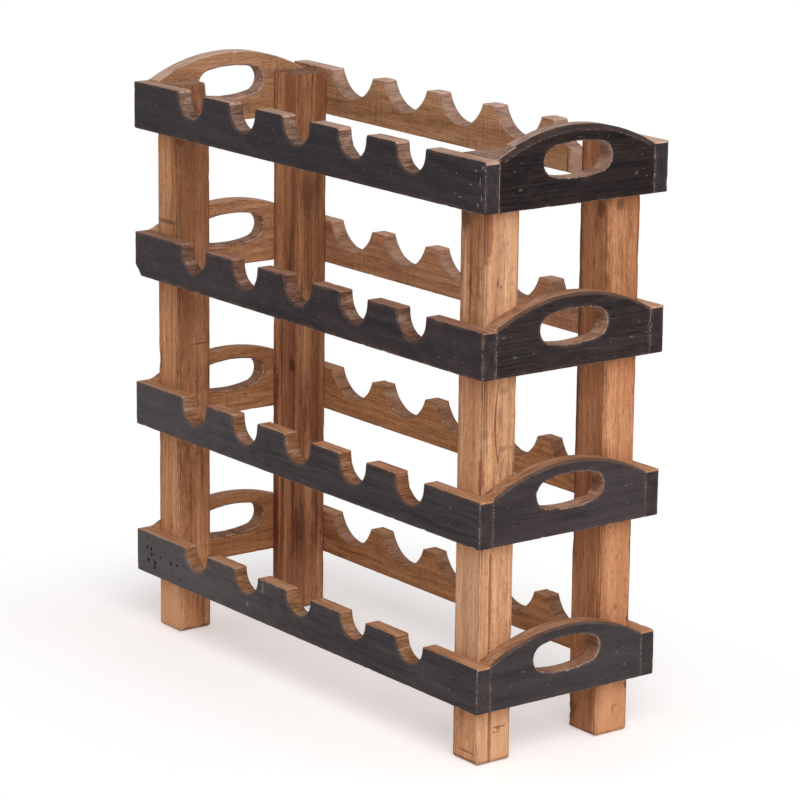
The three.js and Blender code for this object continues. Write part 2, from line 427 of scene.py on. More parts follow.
@dataclass(frozen=True)
class Slab:
    """A board sawn to outlines: the first is its edge, the others are holes."""

    outlines: list[Outline]
    thickness: float
    place: Place
    wear: Wear
    ridge_depth: float = 0.25
    ring_inset: float = 4.6  # where the worn strip along an arris ends
    ring_gap: float = 0.5
    bevel_margin: float = 1.6
    bevel_swing: float = 0.25  # how much of the wear's own swing a flat bevel takes
    edge_rows: int = 6
    edge_margin: float = 1.1
    near_arris: float = 0.7
    faded: float = 0.45  # how worn the rows next to an arris are
    bevel_wear: tuple[float, ...] = (0.9, 0.4, 0.25, 0.4, 0.9)

    SEEDS = 10  # set aside for each outline

    def _rows(self, outline: Outline, number: int) -> list[tuple[np.ndarray, ...]]:
        """Lays rows of samples from the outer face over its arris, the edge and the inner arris.

        Args:
            outline: the outline to follow.
            number: its number in the board.

        Returns:
            The inset, the depth, and the worn and stained shares of each row.
        """
        wear, thick, stained, zero = self.wear, self.thickness, outline.stained, np.zeros(outline.count)
        outer, inner = (wear.radii(outline.path, outline.total, self.SEEDS * number + side) for side in (1, 2))
        outer, inner = (np.minimum(radii + outline.rubbed, wear.deepest) for radii in (outer, inner))
        flat = outline.bevel > 0
        outer = np.where(flat, outline.bevel + self.bevel_swing * (outer - wear.radius), outer)
        rough = np.clip(outline.sawn - TOP_CUT.sawn, 0, 1)
        ridge = self.ridge_depth * rough * wear.ridges(outline.path, outline.total)
        ring = np.maximum(self.ring_inset, outline.bevel + self.bevel_margin)
        rows = [(ring, zero + SKIN, zero, zero + 1),
                (np.minimum(outer + self.near_arris, ring - self.ring_gap), zero + SKIN, zero + self.faded,
                 zero + 1)]
        inner_rows: list[tuple[np.ndarray, ...]] = []
        for step, bevel_wear in enumerate(self.bevel_wear):
            share = step / (len(self.bevel_wear) - 1)
            draw, drop = 1 - math.sin(share * math.pi / 2), 1 - math.cos(share * math.pi / 2)
            rubbed = arris_wear(share)
            rows.append((outer * np.where(flat, 1 - share, draw) + share * ridge,
                         SKIN + outer * np.where(flat, share, drop), np.where(flat, bevel_wear, rubbed),
                         np.maximum(np.where(flat, outline.bevel_stain, 1 - share), stained)))
            inner_rows.insert(0, (inner * draw + share * ridge, thick - inner * drop, zero + rubbed, stained))
        top, foot = SKIN + outer + self.edge_margin, thick - inner - self.edge_margin
        for step in range(self.edge_rows):
            worn = self.faded if step in (0, self.edge_rows - 1) else 0.0
            rows.append((ridge, top + (foot - top) * step / (self.edge_rows - 1), zero + worn, stained))
        near = np.minimum(inner + self.near_arris, self.ring_inset - self.ring_gap)
        return rows + inner_rows + [(near, zero + thick, zero + self.faded, zero),
                                    (zero + self.ring_inset, zero + thick, zero, zero)]

    def build(self, name: str) -> bpy.types.Object:
        """Builds the board.

        Args:
            name: its name.

        Returns:
            The board as an object at the origin.
        """
        points: list[np.ndarray] = []
        layers: dict[str, list[np.ndarray]] = {key: [] for key in LAYERS}
        faces: Faces = []
        rims: tuple[list, list] = ([], [])
        base = 0
        for number, outline in enumerate(self.outlines):
            rows = self._rows(outline, number)
            loops = [outline.loop(row[0]) for row in rows]
            last = len(rows) - 1
            for index, (_, depth, worn, stain) in enumerate(rows):
                points.append(self.place.put(loops[index], depth))
                sawn = outline.sawn * (2 <= index <= last - 2)
                for key, values in zip(LAYERS, (worn, stain, sawn, outline.path)):
                    layers[key].append(values)
            rims[0].append((base, loops[0]))
            rims[1].append((base + last * outline.count, loops[last]))
            faces += ring_faces(base, len(rows), outline.count)
            base += len(rows) * outline.count
        for rim in rims:
            faces += self._fill(rim)
        return mesh_object(name, np.concatenate(points), faces,
                           {key: np.concatenate(values) for key, values in layers.items()})

    def _fill(self, rim: list[tuple[int, np.ndarray]]) -> Faces:
        """Fills a flat face between its rims.

        Args:
            rim: first point number and points of each rim, the edge first.

        Returns:
            The triangles, as point numbers.
        """
        spots, edges, numbers = [], [], []
        for first, flat in rim:
            start, count = len(spots), len(flat)
            spots += [Vector(p) for p in flat]
            numbers += range(first, first + count)
            edges += [(start + i, start + (i + 1) % count) for i in range(count)]
        places, _, triangles, origins, _, _ = delaunay_2d_cdt(spots, edges, [], 1, FILL_REACH)
        centres = np.array([sum((places[i] for i in t), Vector((0, 0))) / 3 for t in triangles])
        edge, *holes = (self._within(centres, flat) for _, flat in rim)
        return [tuple(numbers[origins[i][0]] for i in triangle) for index, triangle in enumerate(triangles)
                if edge[index] and not any(hole[index] for hole in holes)]

    @staticmethod
    def _within(spots: np.ndarray, loop: np.ndarray) -> np.ndarray:
        """Tells which points lie inside a closed loop.

        Args:
            spots: the points.
            loop: the loop's own points.

        Returns:
            True for each point inside.
        """
        inside = np.zeros(len(spots), bool)
        for here, there in zip(loop, np.roll(loop, -1, 0)):
            crosses = (here[1] > spots[:, 1]) != (there[1] > spots[:, 1])
            rise = there[1] - here[1]
            if rise:
                reach = here[0] + (spots[:, 1] - here[1]) * (there[0] - here[0]) / rise
                inside ^= crosses & (spots[:, 0] < reach)
        return inside


# Node trees


@dataclass(frozen=True)
class Figure:
    """A pattern in wood: its cells per millimetre on three axes, its finer layers and where it shows."""

    cells: Point3
    detail: float = 3.0
    rough: float = 0.55
    low: float = 0.0
    high: float = 1.0


def drawn(length: float, width: float, detail: float = 3.0, rough: float = 0.55, low: float = 0.0,
          high: float = 1.0) -> Figure:
    """Makes a figure drawn out along the grain, from the length and width of its cells."""
    return Figure((1 / length, 1 / width, 1 / width), detail, rough, low, high)


class Wiring:
    """Builds a node tree."""

    def __init__(self, tree: bpy.types.NodeTree) -> None:
        """Starts with an empty tree."""
        self.tree = tree
        tree.nodes.clear()

    def node(self, kind: str, wires: dict[Any, Any], **settings: Any) -> bpy.types.Node:
        """Adds a node.

        Args:
            kind: Blender's name for it.
            wires: a value or a socket for each input, by name or number.
            settings: its own settings.

        Returns:
            The node.
        """
        node = self.tree.nodes.new(kind)
        for key, value in settings.items():
            setattr(node, key, value)
        for key, value in wires.items():
            if isinstance(value, bpy.types.NodeSocket):
                self.tree.links.new(value, node.inputs[key])
            else:
                node.inputs[key].default_value = value
        return node

    def calc(self, operation: str, *terms: Any, clamp: bool = False) -> Socket:
        """Adds a Math node.

        Args:
            operation: its operation.
            terms: its inputs in order.
            clamp: whether the result is held between 0 and 1.

        Returns:
            The result.
        """
        wires = dict(enumerate(terms))
        return self.node("ShaderNodeMath", wires, operation=operation, use_clamp=clamp).outputs[0]

    def times(self, one: Any, other: Any) -> Socket:
        """Multiplies two numbers."""
        return self.calc("MULTIPLY", one, other)

    def vector(self, operation: str, *terms: Any) -> Socket:
        """Adds a Vector Math node.

        Args:
            operation: its operation.
            terms: its inputs in order.

        Returns:
            The vector or number that comes out.
        """
        node = self.node("ShaderNodeVectorMath", dict(enumerate(terms)), operation=operation)
        return node.outputs[1] if operation == "LENGTH" else node.outputs[0]

    def scaled(self, place: Any, scale: Any) -> Socket:
        """Multiplies a vector by a number."""
        return self.node("ShaderNodeVectorMath", {0: place, "Scale": scale}, operation="SCALE").outputs[0]

    def join(self, *parts: Any) -> Socket:
        """Joins three numbers into a vector."""
        return self.node("ShaderNodeCombineXYZ", dict(enumerate(parts))).outputs[0]

    def split(self, place: Socket) -> list[Socket]:
        """Splits a vector into its three numbers."""
        return list(self.node("ShaderNodeSeparateXYZ", {0: place}).outputs)

    def slide(self, value: Any, low: float, high: float, to_low: float = 0.0, to_high: float = 1.0) -> Socket:
        """Maps a value smoothly from one range to another.

        Args:
            value: the value.
            low: where it starts to change.
            high: where it stops.
            to_low: result at the start.
            to_high: result at the end.

        Returns:
            The result.
        """
        wires = {"Value": value, "From Min": low, "From Max": high, "To Min": to_low, "To Max": to_high}
        return self.node("ShaderNodeMapRange", wires, interpolation_type="SMOOTHSTEP").outputs[0]

    def seen(self) -> Socket:
        """Tells rays that show the background.

        Returns:
            1 for camera, glossy and transmission rays.
        """
        ray = self.node("ShaderNodeLightPath", {}).outputs
        glossy = self.calc("MAXIMUM", ray["Is Camera Ray"], ray["Is Glossy Ray"])
        return self.calc("MAXIMUM", glossy, ray["Is Transmission Ray"])


class Paint(Wiring):
    """The node tree of one material, with its colour, relief and roughness so far."""

    SPECULAR, ROUGHNESS = 0.12, 0.78

    def __init__(self, name: str) -> None:
        """Starts an empty material, with places in millimetres.

        Args:
            name: its name.
        """
        self.material = bpy.data.materials.new(name)
        self.material.use_nodes = True
        super().__init__(self.material.node_tree)
        self.rack = self.scaled(self.node("ShaderNodeTexCoord", {}).outputs["Object"], 1 / MM)
        self.grain: tuple[Socket, ...] = ()
        self.colour: Any = WHITE
        self.relief: Any = 0.0
        self.rough: Any = self.ROUGHNESS

    def layer(self, name: str) -> Socket:
        """Reads one of the piece's own layers."""
        return self.node("ShaderNodeAttribute", {}, attribute_name=name).outputs["Fac"]

    def cloud(self, place: Socket, detail: float, rough: float) -> Socket:
        """Adds noise of unit scale at a place.

        Args:
            place: the coordinates.
            detail: number of finer layers.
            rough: strength of the finer layers.

        Returns:
            The noise, about 0 to 1.
        """
        wires = {"Vector": place, "Scale": 1.0, "Detail": detail, "Roughness": rough}
        return self.node("ShaderNodeTexNoise", wires).outputs[0]

    def noise(self, figure: Figure, axes: tuple[Socket, ...] = ()) -> Socket:
        """Adds the noise of a figure.

        Args:
            figure: the figure.
            axes: the three numbers that it follows, or none for the grain's own.

        Returns:
            The noise, about 0 to 1.
        """
        place = [self.times(axis, cells) for axis, cells in zip(axes or self.grain, figure.cells)]
        return self.cloud(self.join(*place), figure.detail, figure.rough)

    def shown(self, figure: Figure, axes: tuple[Socket, ...] = ()) -> Socket:
        """Adds the noise of a figure and holds it to where the figure shows."""
        return self.within(self.noise(figure, axes), figure)

    def within(self, noise: Socket, figure: Figure) -> Socket:
        """Makes noise 0 below and 1 above where its figure shows."""
        return self.slide(noise, figure.low, figure.high)

    def blend(self, share: Any, below: Any, above: Any, kind: str = "MIX") -> Socket:
        """Lays one colour over another.

        Args:
            share: how much of the upper colour shows.
            below: the lower colour.
            above: the upper colour.
            kind: how they are mixed.

        Returns:
            The colour.
        """
        node = self.node("ShaderNodeMix", {0: share, 6: below, 7: above}, data_type="RGBA", blend_type=kind)
        return node.outputs[2]

    def lay(self, share: Socket, colour: Any, show: float = 1.0, kind: str = "MIX") -> None:
        """Lays a colour over the one so far, where a share says so."""
        self.colour = self.blend(self.times(share, show), self.colour, colour, kind)

    def raise_by(self, share: Socket, height: float) -> None:
        """Raises the relief where a share says so, or sinks it."""
        self.relief = self.calc("MULTIPLY_ADD", share, height, self.relief)

    def close(self, distance: float, strength: float, metal: float = 0.0) -> bpy.types.Material:
        """Ends the tree in a shader.

        Args:
            distance: depth that a relief of 1 stands for, in metres.
            strength: strength of the relief.
            metal: how metallic it is.

        Returns:
            The material.
        """
        relief = self.node("ShaderNodeBump", {"Height": self.relief, "Distance": distance, "Strength": strength})
        shader = self.node("ShaderNodeBsdfPrincipled", {
            "Base Color": self.colour, "Roughness": self.rough, "Metallic": metal, "Normal": relief.outputs[0],
            "Specular IOR Level": self.SPECULAR})
        self.node("ShaderNodeOutputMaterial", {"Surface": shader.outputs[0]})
        return self.material


# Finishes


class Grain(Enum):
    """Axis that a piece's grain runs along: numbers of the along, across and deep axes."""

    RAIL = (0, 2, 1)
    END_BOARD = (1, 2, 0)
    POST = (2, 0, 1)


@dataclass(frozen=True)
class Tint:
    """How a mark colours the wood, by default with the wood's own pale colour, and how deep it is."""

    colour: Colour | None = None
    strength: float = 1.0
    is_firm: bool = False
    kind: str = "MIX"
    depth: float = 0.0


class BlemishAndPaintedLight(Enum):
    """Kinds of marks in old wood, and painted shade and painted light laid on as marks."""

    KNOT = Tint(srgb(92, 54, 38), 0.7)
    CRACK = Tint(srgb(96, 56, 40), 0.75, is_firm=True, depth=-0.8)
    # Dark smudges; also used as painted shade at the top of the front left post's inner face.
    SMUDGE_AND_SHADE = Tint(srgb(76, 46, 37), 0.62)
    STRIPE = Tint(srgb(128, 70, 48), 0.68, is_firm=True)
    SCUFF = Tint(srgb(150, 140, 134), 0.6, is_firm=True)
    # A firm pale spot: on a hand-hole's lower lip it is partly bare wood and partly painted light.
    PALE_SPOT = Tint(srgb(200, 160, 138), 0.8, is_firm=True)
    # Painted shade: multiplies the colour down on faces that lie in shade inside the rack.
    PAINTED_SHADE = Tint(srgb(188, 178, 170), kind="MULTIPLY")
    DUST = Tint(srgb(158, 148, 148), 0.3)
    WORMS = Tint(srgb(22, 17, 17), depth=-2.0)
    # Paler wood such as sapwood; also used as painted light on the posts' feet and lower fronts.
    PALE_AND_PAINTED_LIGHT = Tint()


KNOT, CRACK, SMUDGE_AND_SHADE, STRIPE, SCUFF, PALE_SPOT, PAINTED_SHADE, DUST, WORMS, PALE_AND_PAINTED_LIGHT = BlemishAndPaintedLight


@dataclass(frozen=True)
class Mark:
    """A blemish, painted shade or painted light at a point of the rack, with its reach along each axis and how far
    its ends bow aside.
    """

    kind: BlemishAndPaintedLight
    centre: Point3
    reach: Point3
    show: float = 1.0
    bow: Point3 = (0.0, 0.0, 0.0)

    SMALL = 10.0
    RAGGED_ALONG, RAGGED_ACROSS, FRAYED = 0.07, 0.16, 0.42  # cells per millimetre in its rim
    RAGGED_SPREAD, FRAYED_SPREAD = 1.1, 2.4
    FIRM_RIM, SOFT_RIM, WORM_RIM = (1.0, 0.75), (1.15, 0.25), (1.1, 0.9)  # shares of its reach
    KNOT_TURNS, KNOT_RINGS = 17.0, (0.1, 0.9)
    WORM_CELLS, WORM_SIZES, WORM_EDGE = 0.155, (0.08, 0.46), (0.0, 0.05)
    WORM_RAGGED, WORM_BEND = 0.45, 3.2

    @property
    def is_small(self) -> bool:
        """Whether it is a small stroke, with a frayed rim."""
        return self.kind in (SCUFF, CRACK) and max(self.reach) < self.SMALL


Marks = tuple[Mark, ...]


@dataclass(frozen=True)
class Wood:
    """Bare wood: its pale and dark colours, its broad bands, its cuts, and how much its features show."""

    pale: Colour
    dark: Colour
    band: Colour
    cut: Colour
    wall: Colour
    arch: Colour = srgb(158, 116, 88)
    band_show: float = 0.6
    ring_width: float = 9.0
    ring_show: float = 0.25
    fleck_show: float = 0.45
    pore_show: float = 0.4
    glint_show: float = 0.3
    dirt_show: float = 0.42
    kerf_show: float = 0.0
    grime: float = 0.55
    edge_show: float = 0.62

    DIRT = srgb(128, 98, 84)
    FLECK = srgb(112, 84, 72)
    PORE = srgb(92, 62, 48)
    LINE = srgb(112, 88, 76)
    PALE_EDGE = srgb(214, 184, 164)
    KNOT_RING = srgb(48, 28, 22)

    WOBBLE = drawn(170, 46, 2)
    FIBRES = drawn(52, 1.5, 4, 0.64, 0.36, 0.7)
    SHORT_FIBRES = drawn(8, 1.2, 3, 0.6, 0.4, 0.66)
    BANDS = drawn(420, 13, 3, low=0.4, high=0.64)
    DIRT_BANDS = drawn(110, 17, 5, 0.66, 0.5, 0.7)
    FLECKS = drawn(8, 1.0, 2, low=0.61, high=0.67)
    PORES = drawn(3.2, 1.5, 2, low=0.68, high=0.73)
    GLINTS = drawn(14, 1.2, 3, low=0.6, high=0.68)
    KERFS = Figure((0.34, 0.012, 0.01), 3, 0.6, 0.42, 0.66)
    KERF_PATCHES = drawn(46, 20, 3, low=0.44, high=0.62)
    PATINA = Figure((0.016, 0.2, 0.2), 4, 0.62)
    PALE_PATCHES = Figure((0.11, 0.3, 0.3), 4, 0.7, 0.44, 0.58)
    GRIME = Figure((0.014, 0.05, 0.05), 2, 0.5, 0.36, 0.58)
    SAW_LINES = Figure((0.85, 0.05, 0.04), 3, 0.65, 0.42, 0.64)  # along a cut, through it and across the grain
    MOTTLE = Figure((0.12, 0.035, 0.02), 4, 0.68)  # likewise

    RING_WOBBLE = 26.0
    TILTS, ASIDES, PITHS = (-0.05, 0.05), (-40, 40), (35, 90)  # how the rings may lie in a piece
    RING_COMES, RING_GOES = (0.2, 0.85), (1.0, 0.88)
    FIBRE_SHOW, SHORT_SHOW = 0.55, 0.34
    FIBRE_RISE, FLECK_RISE, SHORT_RISE, LATE_RISE, KERF_RISE, SAW_RISE = 0.6, -0.5, 0.3, 0.2, -0.3, -0.6
    AT_CUT, AT_WALL, AT_RIDGES = (0.0, 0.3), (0.4, 1.0), (0.3, 1.0)  # on the sawn layer
    CUT_SHOW, WALL_SHOW = 0.72, 0.8
    MURKY, MURKY_SHOW = (0.5, 0.66), 0.42
    CLEAN, CLEAN_SHOW = (0.5, 0.36), 0.26
    GRIME_COMES, GRIME_GOES, AT_ARRIS = (0.4, 0.68), (0.96, 0.8), (0.8, 1.0)  # on the worn layer


@dataclass(frozen=True)
class Stain:
    """Dark stain on an outer face: its body, the tint of its streaks and how worn it is."""

    body: Colour
    streak: Colour
    streak_show: float = 0.4
    scratch_show: float = 0.3
    speck_show: float = 0.5
    late_show: float = 0.25
    blotch: float = 0.3
    rub: float = 0.4

    LATE = srgb(150, 144, 144)
    BARE_SCRATCH = srgb(128, 100, 84)
    BLOTCH = srgb(68, 54, 54)
    NICK = srgb(116, 104, 100)
    PIT = srgb(24, 20, 21)
    SPECK = srgb(176, 165, 158)
    RUBBED = srgb(112, 82, 72)

    FINE = drawn(60, 1.3, 4, 0.65, 0.42, 0.62)
    BROAD = Figure((0.5 / 60, 0.09 / 1.3, 0.09 / 1.3), 3, 0.6, 0.35, 0.7)
    SCRATCHES = Figure((0.045, 1.0, 0.2), 3, 0.7, 0.61, 0.68)
    SCRATCH_SLANT = 0.16
    BLOTCHES = Figure((0.05, 0.08, 0.08), 4, 0.66)
    NICKS = Figure((0.24, 0.62, 0.62), 2, 0.6)
    CHIPS = Figure((0.45, 0.55, 0.55), 3, 0.7)
    SPECK_CELLS, SPECK_RIM, SPECK_RARE = 0.22, (0.2, 0.1), (0.97, 0.98)

    BROAD_SHOW, BROAD_SCRATCHED = 0.5, (0.4, 0.62)
    DARK_BLOTCH, CLEAR_BLOTCH, CLEAR_SHOW = (0.5, 0.64), (0.46, 0.34), 0.5
    AT_NICK, NICK_SHOW = (0.66, 0.72), 0.3
    AT_PIT, PIT_SHOW = (0.34, 0.28), 0.45
    THIN_WORN, THIN_BLOTCH = (0.0, 0.6), (0.36, 0.62)
    DUST_WORN, DUST_CHIP, DUST_SHOW = (0.7, 1.0), (0.46, 0.56), 0.52
    CHIP_LIMIT, CHIP_SPREAD, CHIP_RIM, CHIP_BARE = 0.91, -0.32, (-0.02, 0.03), 0.8
    COVERED = (0.3, 0.62)  # on the stain layer
    SMOOTHER, UNEVEN = -0.16, 0.16


@dataclass(frozen=True)
class WoodFinish:
    """Finish of one wooden piece: bare wood, its stain if it has one, and its marks."""

    wood: Wood
    grain: Grain
    seed: int
    stain: Stain | None = None
    marks: Marks = ()
    lines: float = 0.3

    RELIEF_DEPTH, RELIEF_STRENGTH = 0.0007, 0.45
    SHIFT = 900  # how far apart in one endless piece of wood the pieces may be taken from

    def material(self, name: str) -> bpy.types.Material:
        """Builds the material.

        Args:
            name: its name.

        Returns:
            The material.
        """
        paint = Paint(name)
        rng = np.random.default_rng(self.seed)
        shift = tuple(float(v) for v in rng.uniform(-self.SHIFT, self.SHIFT, 3))
        parts = paint.split(paint.vector("ADD", paint.rack, shift))
        paint.grain = tuple(parts[i] for i in self.grain.value)
        late = self._bare(paint, rng)
        self._edges(paint)
        if self.stain:
            self._stained(paint, self.stain, late)
        if self.marks:
            self._blemishes_and_painted_light(paint)
        return paint.close(self.RELIEF_DEPTH, self.RELIEF_STRENGTH)

    def _bare(self, paint: Paint, rng: np.random.Generator) -> Socket:
        """Lays out bare wood: rings, broad bands, fibres and flecks.

        Args:
            paint: the material so far.
            rng: seeded random numbers.

        Returns:
            The late wood of the rings.
        """
        wood, (along, across, deep) = self.wood, paint.grain
        wobble = paint.calc("MULTIPLY_ADD", paint.noise(wood.WOBBLE), wood.RING_WOBBLE, -wood.RING_WOBBLE / 2)
        tilt, aside, pith = (float(rng.uniform(*span)) for span in (wood.TILTS, wood.ASIDES, wood.PITHS))
        side = paint.calc("ADD", paint.calc("MULTIPLY_ADD", along, tilt, aside), across)
        radius = paint.vector("LENGTH", paint.join(
            paint.calc("ADD", side, wobble), paint.calc("ADD", deep, pith), 0.0))
        phase = paint.calc("FRACT", paint.times(radius, 1 / wood.ring_width))
        late = paint.times(paint.slide(phase, *wood.RING_COMES), paint.slide(phase, *wood.RING_GOES))
        fibre, short = paint.noise(wood.FIBRES), paint.noise(wood.SHORT_FIBRES)
        share = paint.times(paint.within(fibre, wood.FIBRES), wood.FIBRE_SHOW)
        share = paint.calc("MULTIPLY_ADD", paint.within(short, wood.SHORT_FIBRES), wood.SHORT_SHOW, share)
        share = paint.calc("MULTIPLY_ADD", late, wood.ring_show, share, clamp=True)
        paint.colour = paint.blend(share, wood.pale, wood.dark)
        paint.lay(paint.shown(wood.BANDS), wood.band, wood.band_show)
        paint.lay(paint.shown(wood.DIRT_BANDS), wood.DIRT, wood.dirt_show, "MULTIPLY")
        fleck = paint.shown(wood.FLECKS)
        paint.lay(fleck, wood.FLECK, wood.fleck_show, "MULTIPLY")
        paint.lay(paint.shown(wood.PORES), wood.PORE, wood.pore_show)
        paint.lay(paint.shown(wood.GLINTS), wood.pale, wood.glint_show)
        for part, height in ((fibre, wood.FIBRE_RISE), (fleck, wood.FLECK_RISE), (short, wood.SHORT_RISE),
                             (late, wood.LATE_RISE)):
            paint.raise_by(part, height)
        if wood.kerf_show:
            line = paint.times(paint.shown(wood.KERFS), paint.shown(wood.KERF_PATCHES))
            paint.lay(line, wood.DIRT, wood.kerf_show, "MULTIPLY")
            paint.raise_by(line, wood.KERF_RISE)
        return late

    def _edges(self, paint: Paint) -> None:
        """Adds saw lines in the cuts, and pale wear and grime along the arrises.

        Args:
            paint: the material so far.
        """
        wood, (_, across, deep) = self.wood, paint.grain
        worn, sawn, path = (paint.layer(name) for name in ("worn", "sawn", "path"))
        in_cut = (path, deep, across)
        cut, wall = paint.slide(sawn, *wood.AT_CUT), paint.slide(sawn, *wood.AT_WALL)
        kerf = paint.times(paint.shown(wood.SAW_LINES, in_cut), paint.slide(sawn, *wood.AT_RIDGES))
        paint.lay(cut, wood.arch if self.grain is Grain.END_BOARD else wood.cut, wood.CUT_SHOW)
        paint.lay(wall, wood.wall, wood.WALL_SHOW)
        paint.lay(kerf, wood.LINE, self.lines, "MULTIPLY")
        paint.raise_by(kerf, wood.SAW_RISE)
        patina, mottle = paint.noise(wood.PATINA), paint.noise(wood.MOTTLE, in_cut)
        mottle = paint.calc("MULTIPLY_ADD", wall, paint.calc("SUBTRACT", mottle, patina), patina)
        paint.lay(paint.times(cut, paint.slide(mottle, *wood.MURKY)), wood.DIRT, wood.MURKY_SHOW, "MULTIPLY")
        paint.lay(paint.times(cut, paint.slide(mottle, *wood.CLEAN)), wood.PALE_EDGE, wood.CLEAN_SHOW)
        stripe = paint.times(paint.slide(worn, *wood.GRIME_COMES), paint.slide(worn, *wood.GRIME_GOES))
        paint.lay(paint.times(stripe, paint.shown(wood.GRIME)), wood.DIRT, wood.grime, "MULTIPLY")
        arris = paint.slide(worn, *wood.AT_ARRIS)
        paint.lay(paint.times(arris, paint.shown(wood.PALE_PATCHES)), wood.PALE_EDGE, wood.edge_show)

    @staticmethod
    def _stained(paint: Paint, stain: Stain, late: Socket) -> None:
        """Lays the stain over the outer face, worn at its arrises, scratched and specked.

        Args:
            paint: the material so far.
            stain: the stain.
            late: late wood of the rings.
        """
        bare, (along, across, deep) = paint.colour, paint.grain
        fine, broad, blotch, nick, chip = (paint.noise(figure) for figure in (
            stain.FINE, stain.BROAD, stain.BLOTCHES, stain.NICKS, stain.CHIPS))
        paint.colour = stain.body
        paint.lay(paint.within(fine, stain.FINE), stain.streak, stain.streak_show)
        paint.lay(paint.within(broad, stain.BROAD), stain.streak, stain.BROAD_SHOW)
        paint.lay(late, stain.LATE, stain.late_show, "MULTIPLY")
        slanted = paint.calc("MULTIPLY_ADD", along, stain.SCRATCH_SLANT, across)
        scratch = paint.shown(stain.SCRATCHES, (along, slanted, deep))
        scratch = paint.times(scratch, paint.slide(broad, *stain.BROAD_SCRATCHED))
        paint.lay(scratch, stain.BARE_SCRATCH, stain.scratch_show)
        paint.lay(paint.slide(blotch, *stain.DARK_BLOTCH), stain.BLOTCH, stain.blotch)
        paint.lay(paint.slide(blotch, *stain.CLEAR_BLOTCH), stain.body, stain.CLEAR_SHOW * stain.blotch)
        paint.lay(paint.slide(nick, *stain.AT_NICK), stain.NICK, stain.NICK_SHOW)
        paint.lay(paint.slide(nick, *stain.AT_PIT), stain.PIT, stain.PIT_SHOW)
        cells = paint.node("ShaderNodeTexVoronoi", {
            "Vector": paint.join(along, across, deep), "Scale": stain.SPECK_CELLS, "Randomness": 1.0}).outputs
        rare = paint.slide(paint.split(cells["Color"])[0], *stain.SPECK_RARE)
        speck = paint.times(paint.slide(cells["Distance"], *stain.SPECK_RIM), rare)
        paint.lay(speck, stain.SPECK, stain.speck_show)
        worn = paint.layer("worn")
        thin = paint.times(paint.slide(worn, *stain.THIN_WORN), paint.slide(blotch, *stain.THIN_BLOTCH))
        paint.lay(thin, stain.RUBBED, stain.rub)
        dust = paint.times(paint.slide(worn, *stain.DUST_WORN), paint.slide(chip, *stain.DUST_CHIP))
        paint.lay(dust, stain.SPECK, stain.DUST_SHOW)
        limit = paint.calc("MULTIPLY_ADD", worn, stain.CHIP_SPREAD, stain.CHIP_LIMIT)
        rubbed = paint.slide(paint.calc("SUBTRACT", chip, limit), *stain.CHIP_RIM)
        kept = paint.calc("SUBTRACT", 1.0, paint.times(rubbed, stain.CHIP_BARE))
        cover = paint.calc("MULTIPLY", paint.slide(paint.layer("stain"), *stain.COVERED), kept, clamp=True)
        paint.colour = paint.blend(cover, bare, paint.colour)
        rough = paint.calc("MULTIPLY_ADD", cover, stain.SMOOTHER, paint.rough)
        uneven = paint.calc("SUBTRACT", fine, 0.5)
        paint.rough = paint.calc("MULTIPLY_ADD", uneven, stain.UNEVEN, rough, clamp=True)

    def _blemishes_and_painted_light(self, paint: Paint) -> None:
        """Adds the piece's own marks.

        Args:
            paint: the material so far.
        """
        axis = self.grain.value[0]
        cells = tuple(Mark.RAGGED_ALONG if i == axis else Mark.RAGGED_ACROSS for i in range(3))
        ragged = paint.cloud(paint.vector("MULTIPLY", paint.rack, cells), 3, 0.6)
        frayed = paint.cloud(paint.scaled(paint.rack, Mark.FRAYED), 3, 0.65)
        pits = self._pits(paint) if any(mark.kind is WORMS for mark in self.marks) else None
        for mark in self.marks:
            far = paint.vector("SUBTRACT", paint.rack, mark.centre)
            if any(mark.bow):
                rise = paint.times(paint.split(far)[axis], 1 / mark.reach[axis])
                far = paint.vector("SUBTRACT", far, paint.scaled(mark.bow, paint.times(rise, rise)))
            away = paint.vector("LENGTH", paint.vector("DIVIDE", far, mark.reach))
            rim, spread = (frayed, mark.FRAYED_SPREAD) if mark.is_small else (ragged, mark.RAGGED_SPREAD)
            away = paint.calc("ADD", away, paint.calc("MULTIPLY_ADD", rim, spread, -spread / 2))
            tint, strength = mark.kind.value, mark.show * mark.kind.value.strength
            if mark.kind is WORMS:
                share = paint.times(pits, paint.slide(away, *mark.WORM_RIM))
            else:
                share = paint.slide(away, *(mark.FIRM_RIM if tint.is_firm else mark.SOFT_RIM))
            paint.lay(share, tint.colour or self.wood.pale, strength, tint.kind)
            if mark.kind is KNOT:
                rings = paint.slide(paint.calc("SINE", paint.times(away, mark.KNOT_TURNS)), *mark.KNOT_RINGS)
                paint.lay(paint.times(rings, share), self.wood.KNOT_RING, strength)
            if tint.depth:
                paint.raise_by(share, mark.show * tint.depth)

    @staticmethod
    def _pits(paint: Paint) -> Socket:
        """Scatters ragged pits of uneven size.

        Args:
            paint: the material so far.

        Returns:
            1 inside a pit.
        """
        noise = paint.node("ShaderNodeTexNoise", {"Vector": paint.rack, "Scale": Mark.WORM_RAGGED, "Detail": 2.0})
        ragged = paint.vector("SUBTRACT", noise.outputs["Color"], (0.5, 0.5, 0.5))
        bent = paint.vector("ADD", paint.rack, paint.scaled(ragged, Mark.WORM_BEND))
        flat = paint.vector("MULTIPLY", bent, (1.0, 0.0, 1.0))
        cells = paint.node("ShaderNodeTexVoronoi", {
            "Vector": flat, "Scale": Mark.WORM_CELLS, "Randomness": 1.0}).outputs
        size = paint.slide(paint.split(cells["Color"])[0], 0.0, 1.0, *Mark.WORM_SIZES)
        return paint.slide(paint.calc("SUBTRACT", size, cells["Distance"]), *Mark.WORM_EDGE)


# Sub-assemblies of the rack


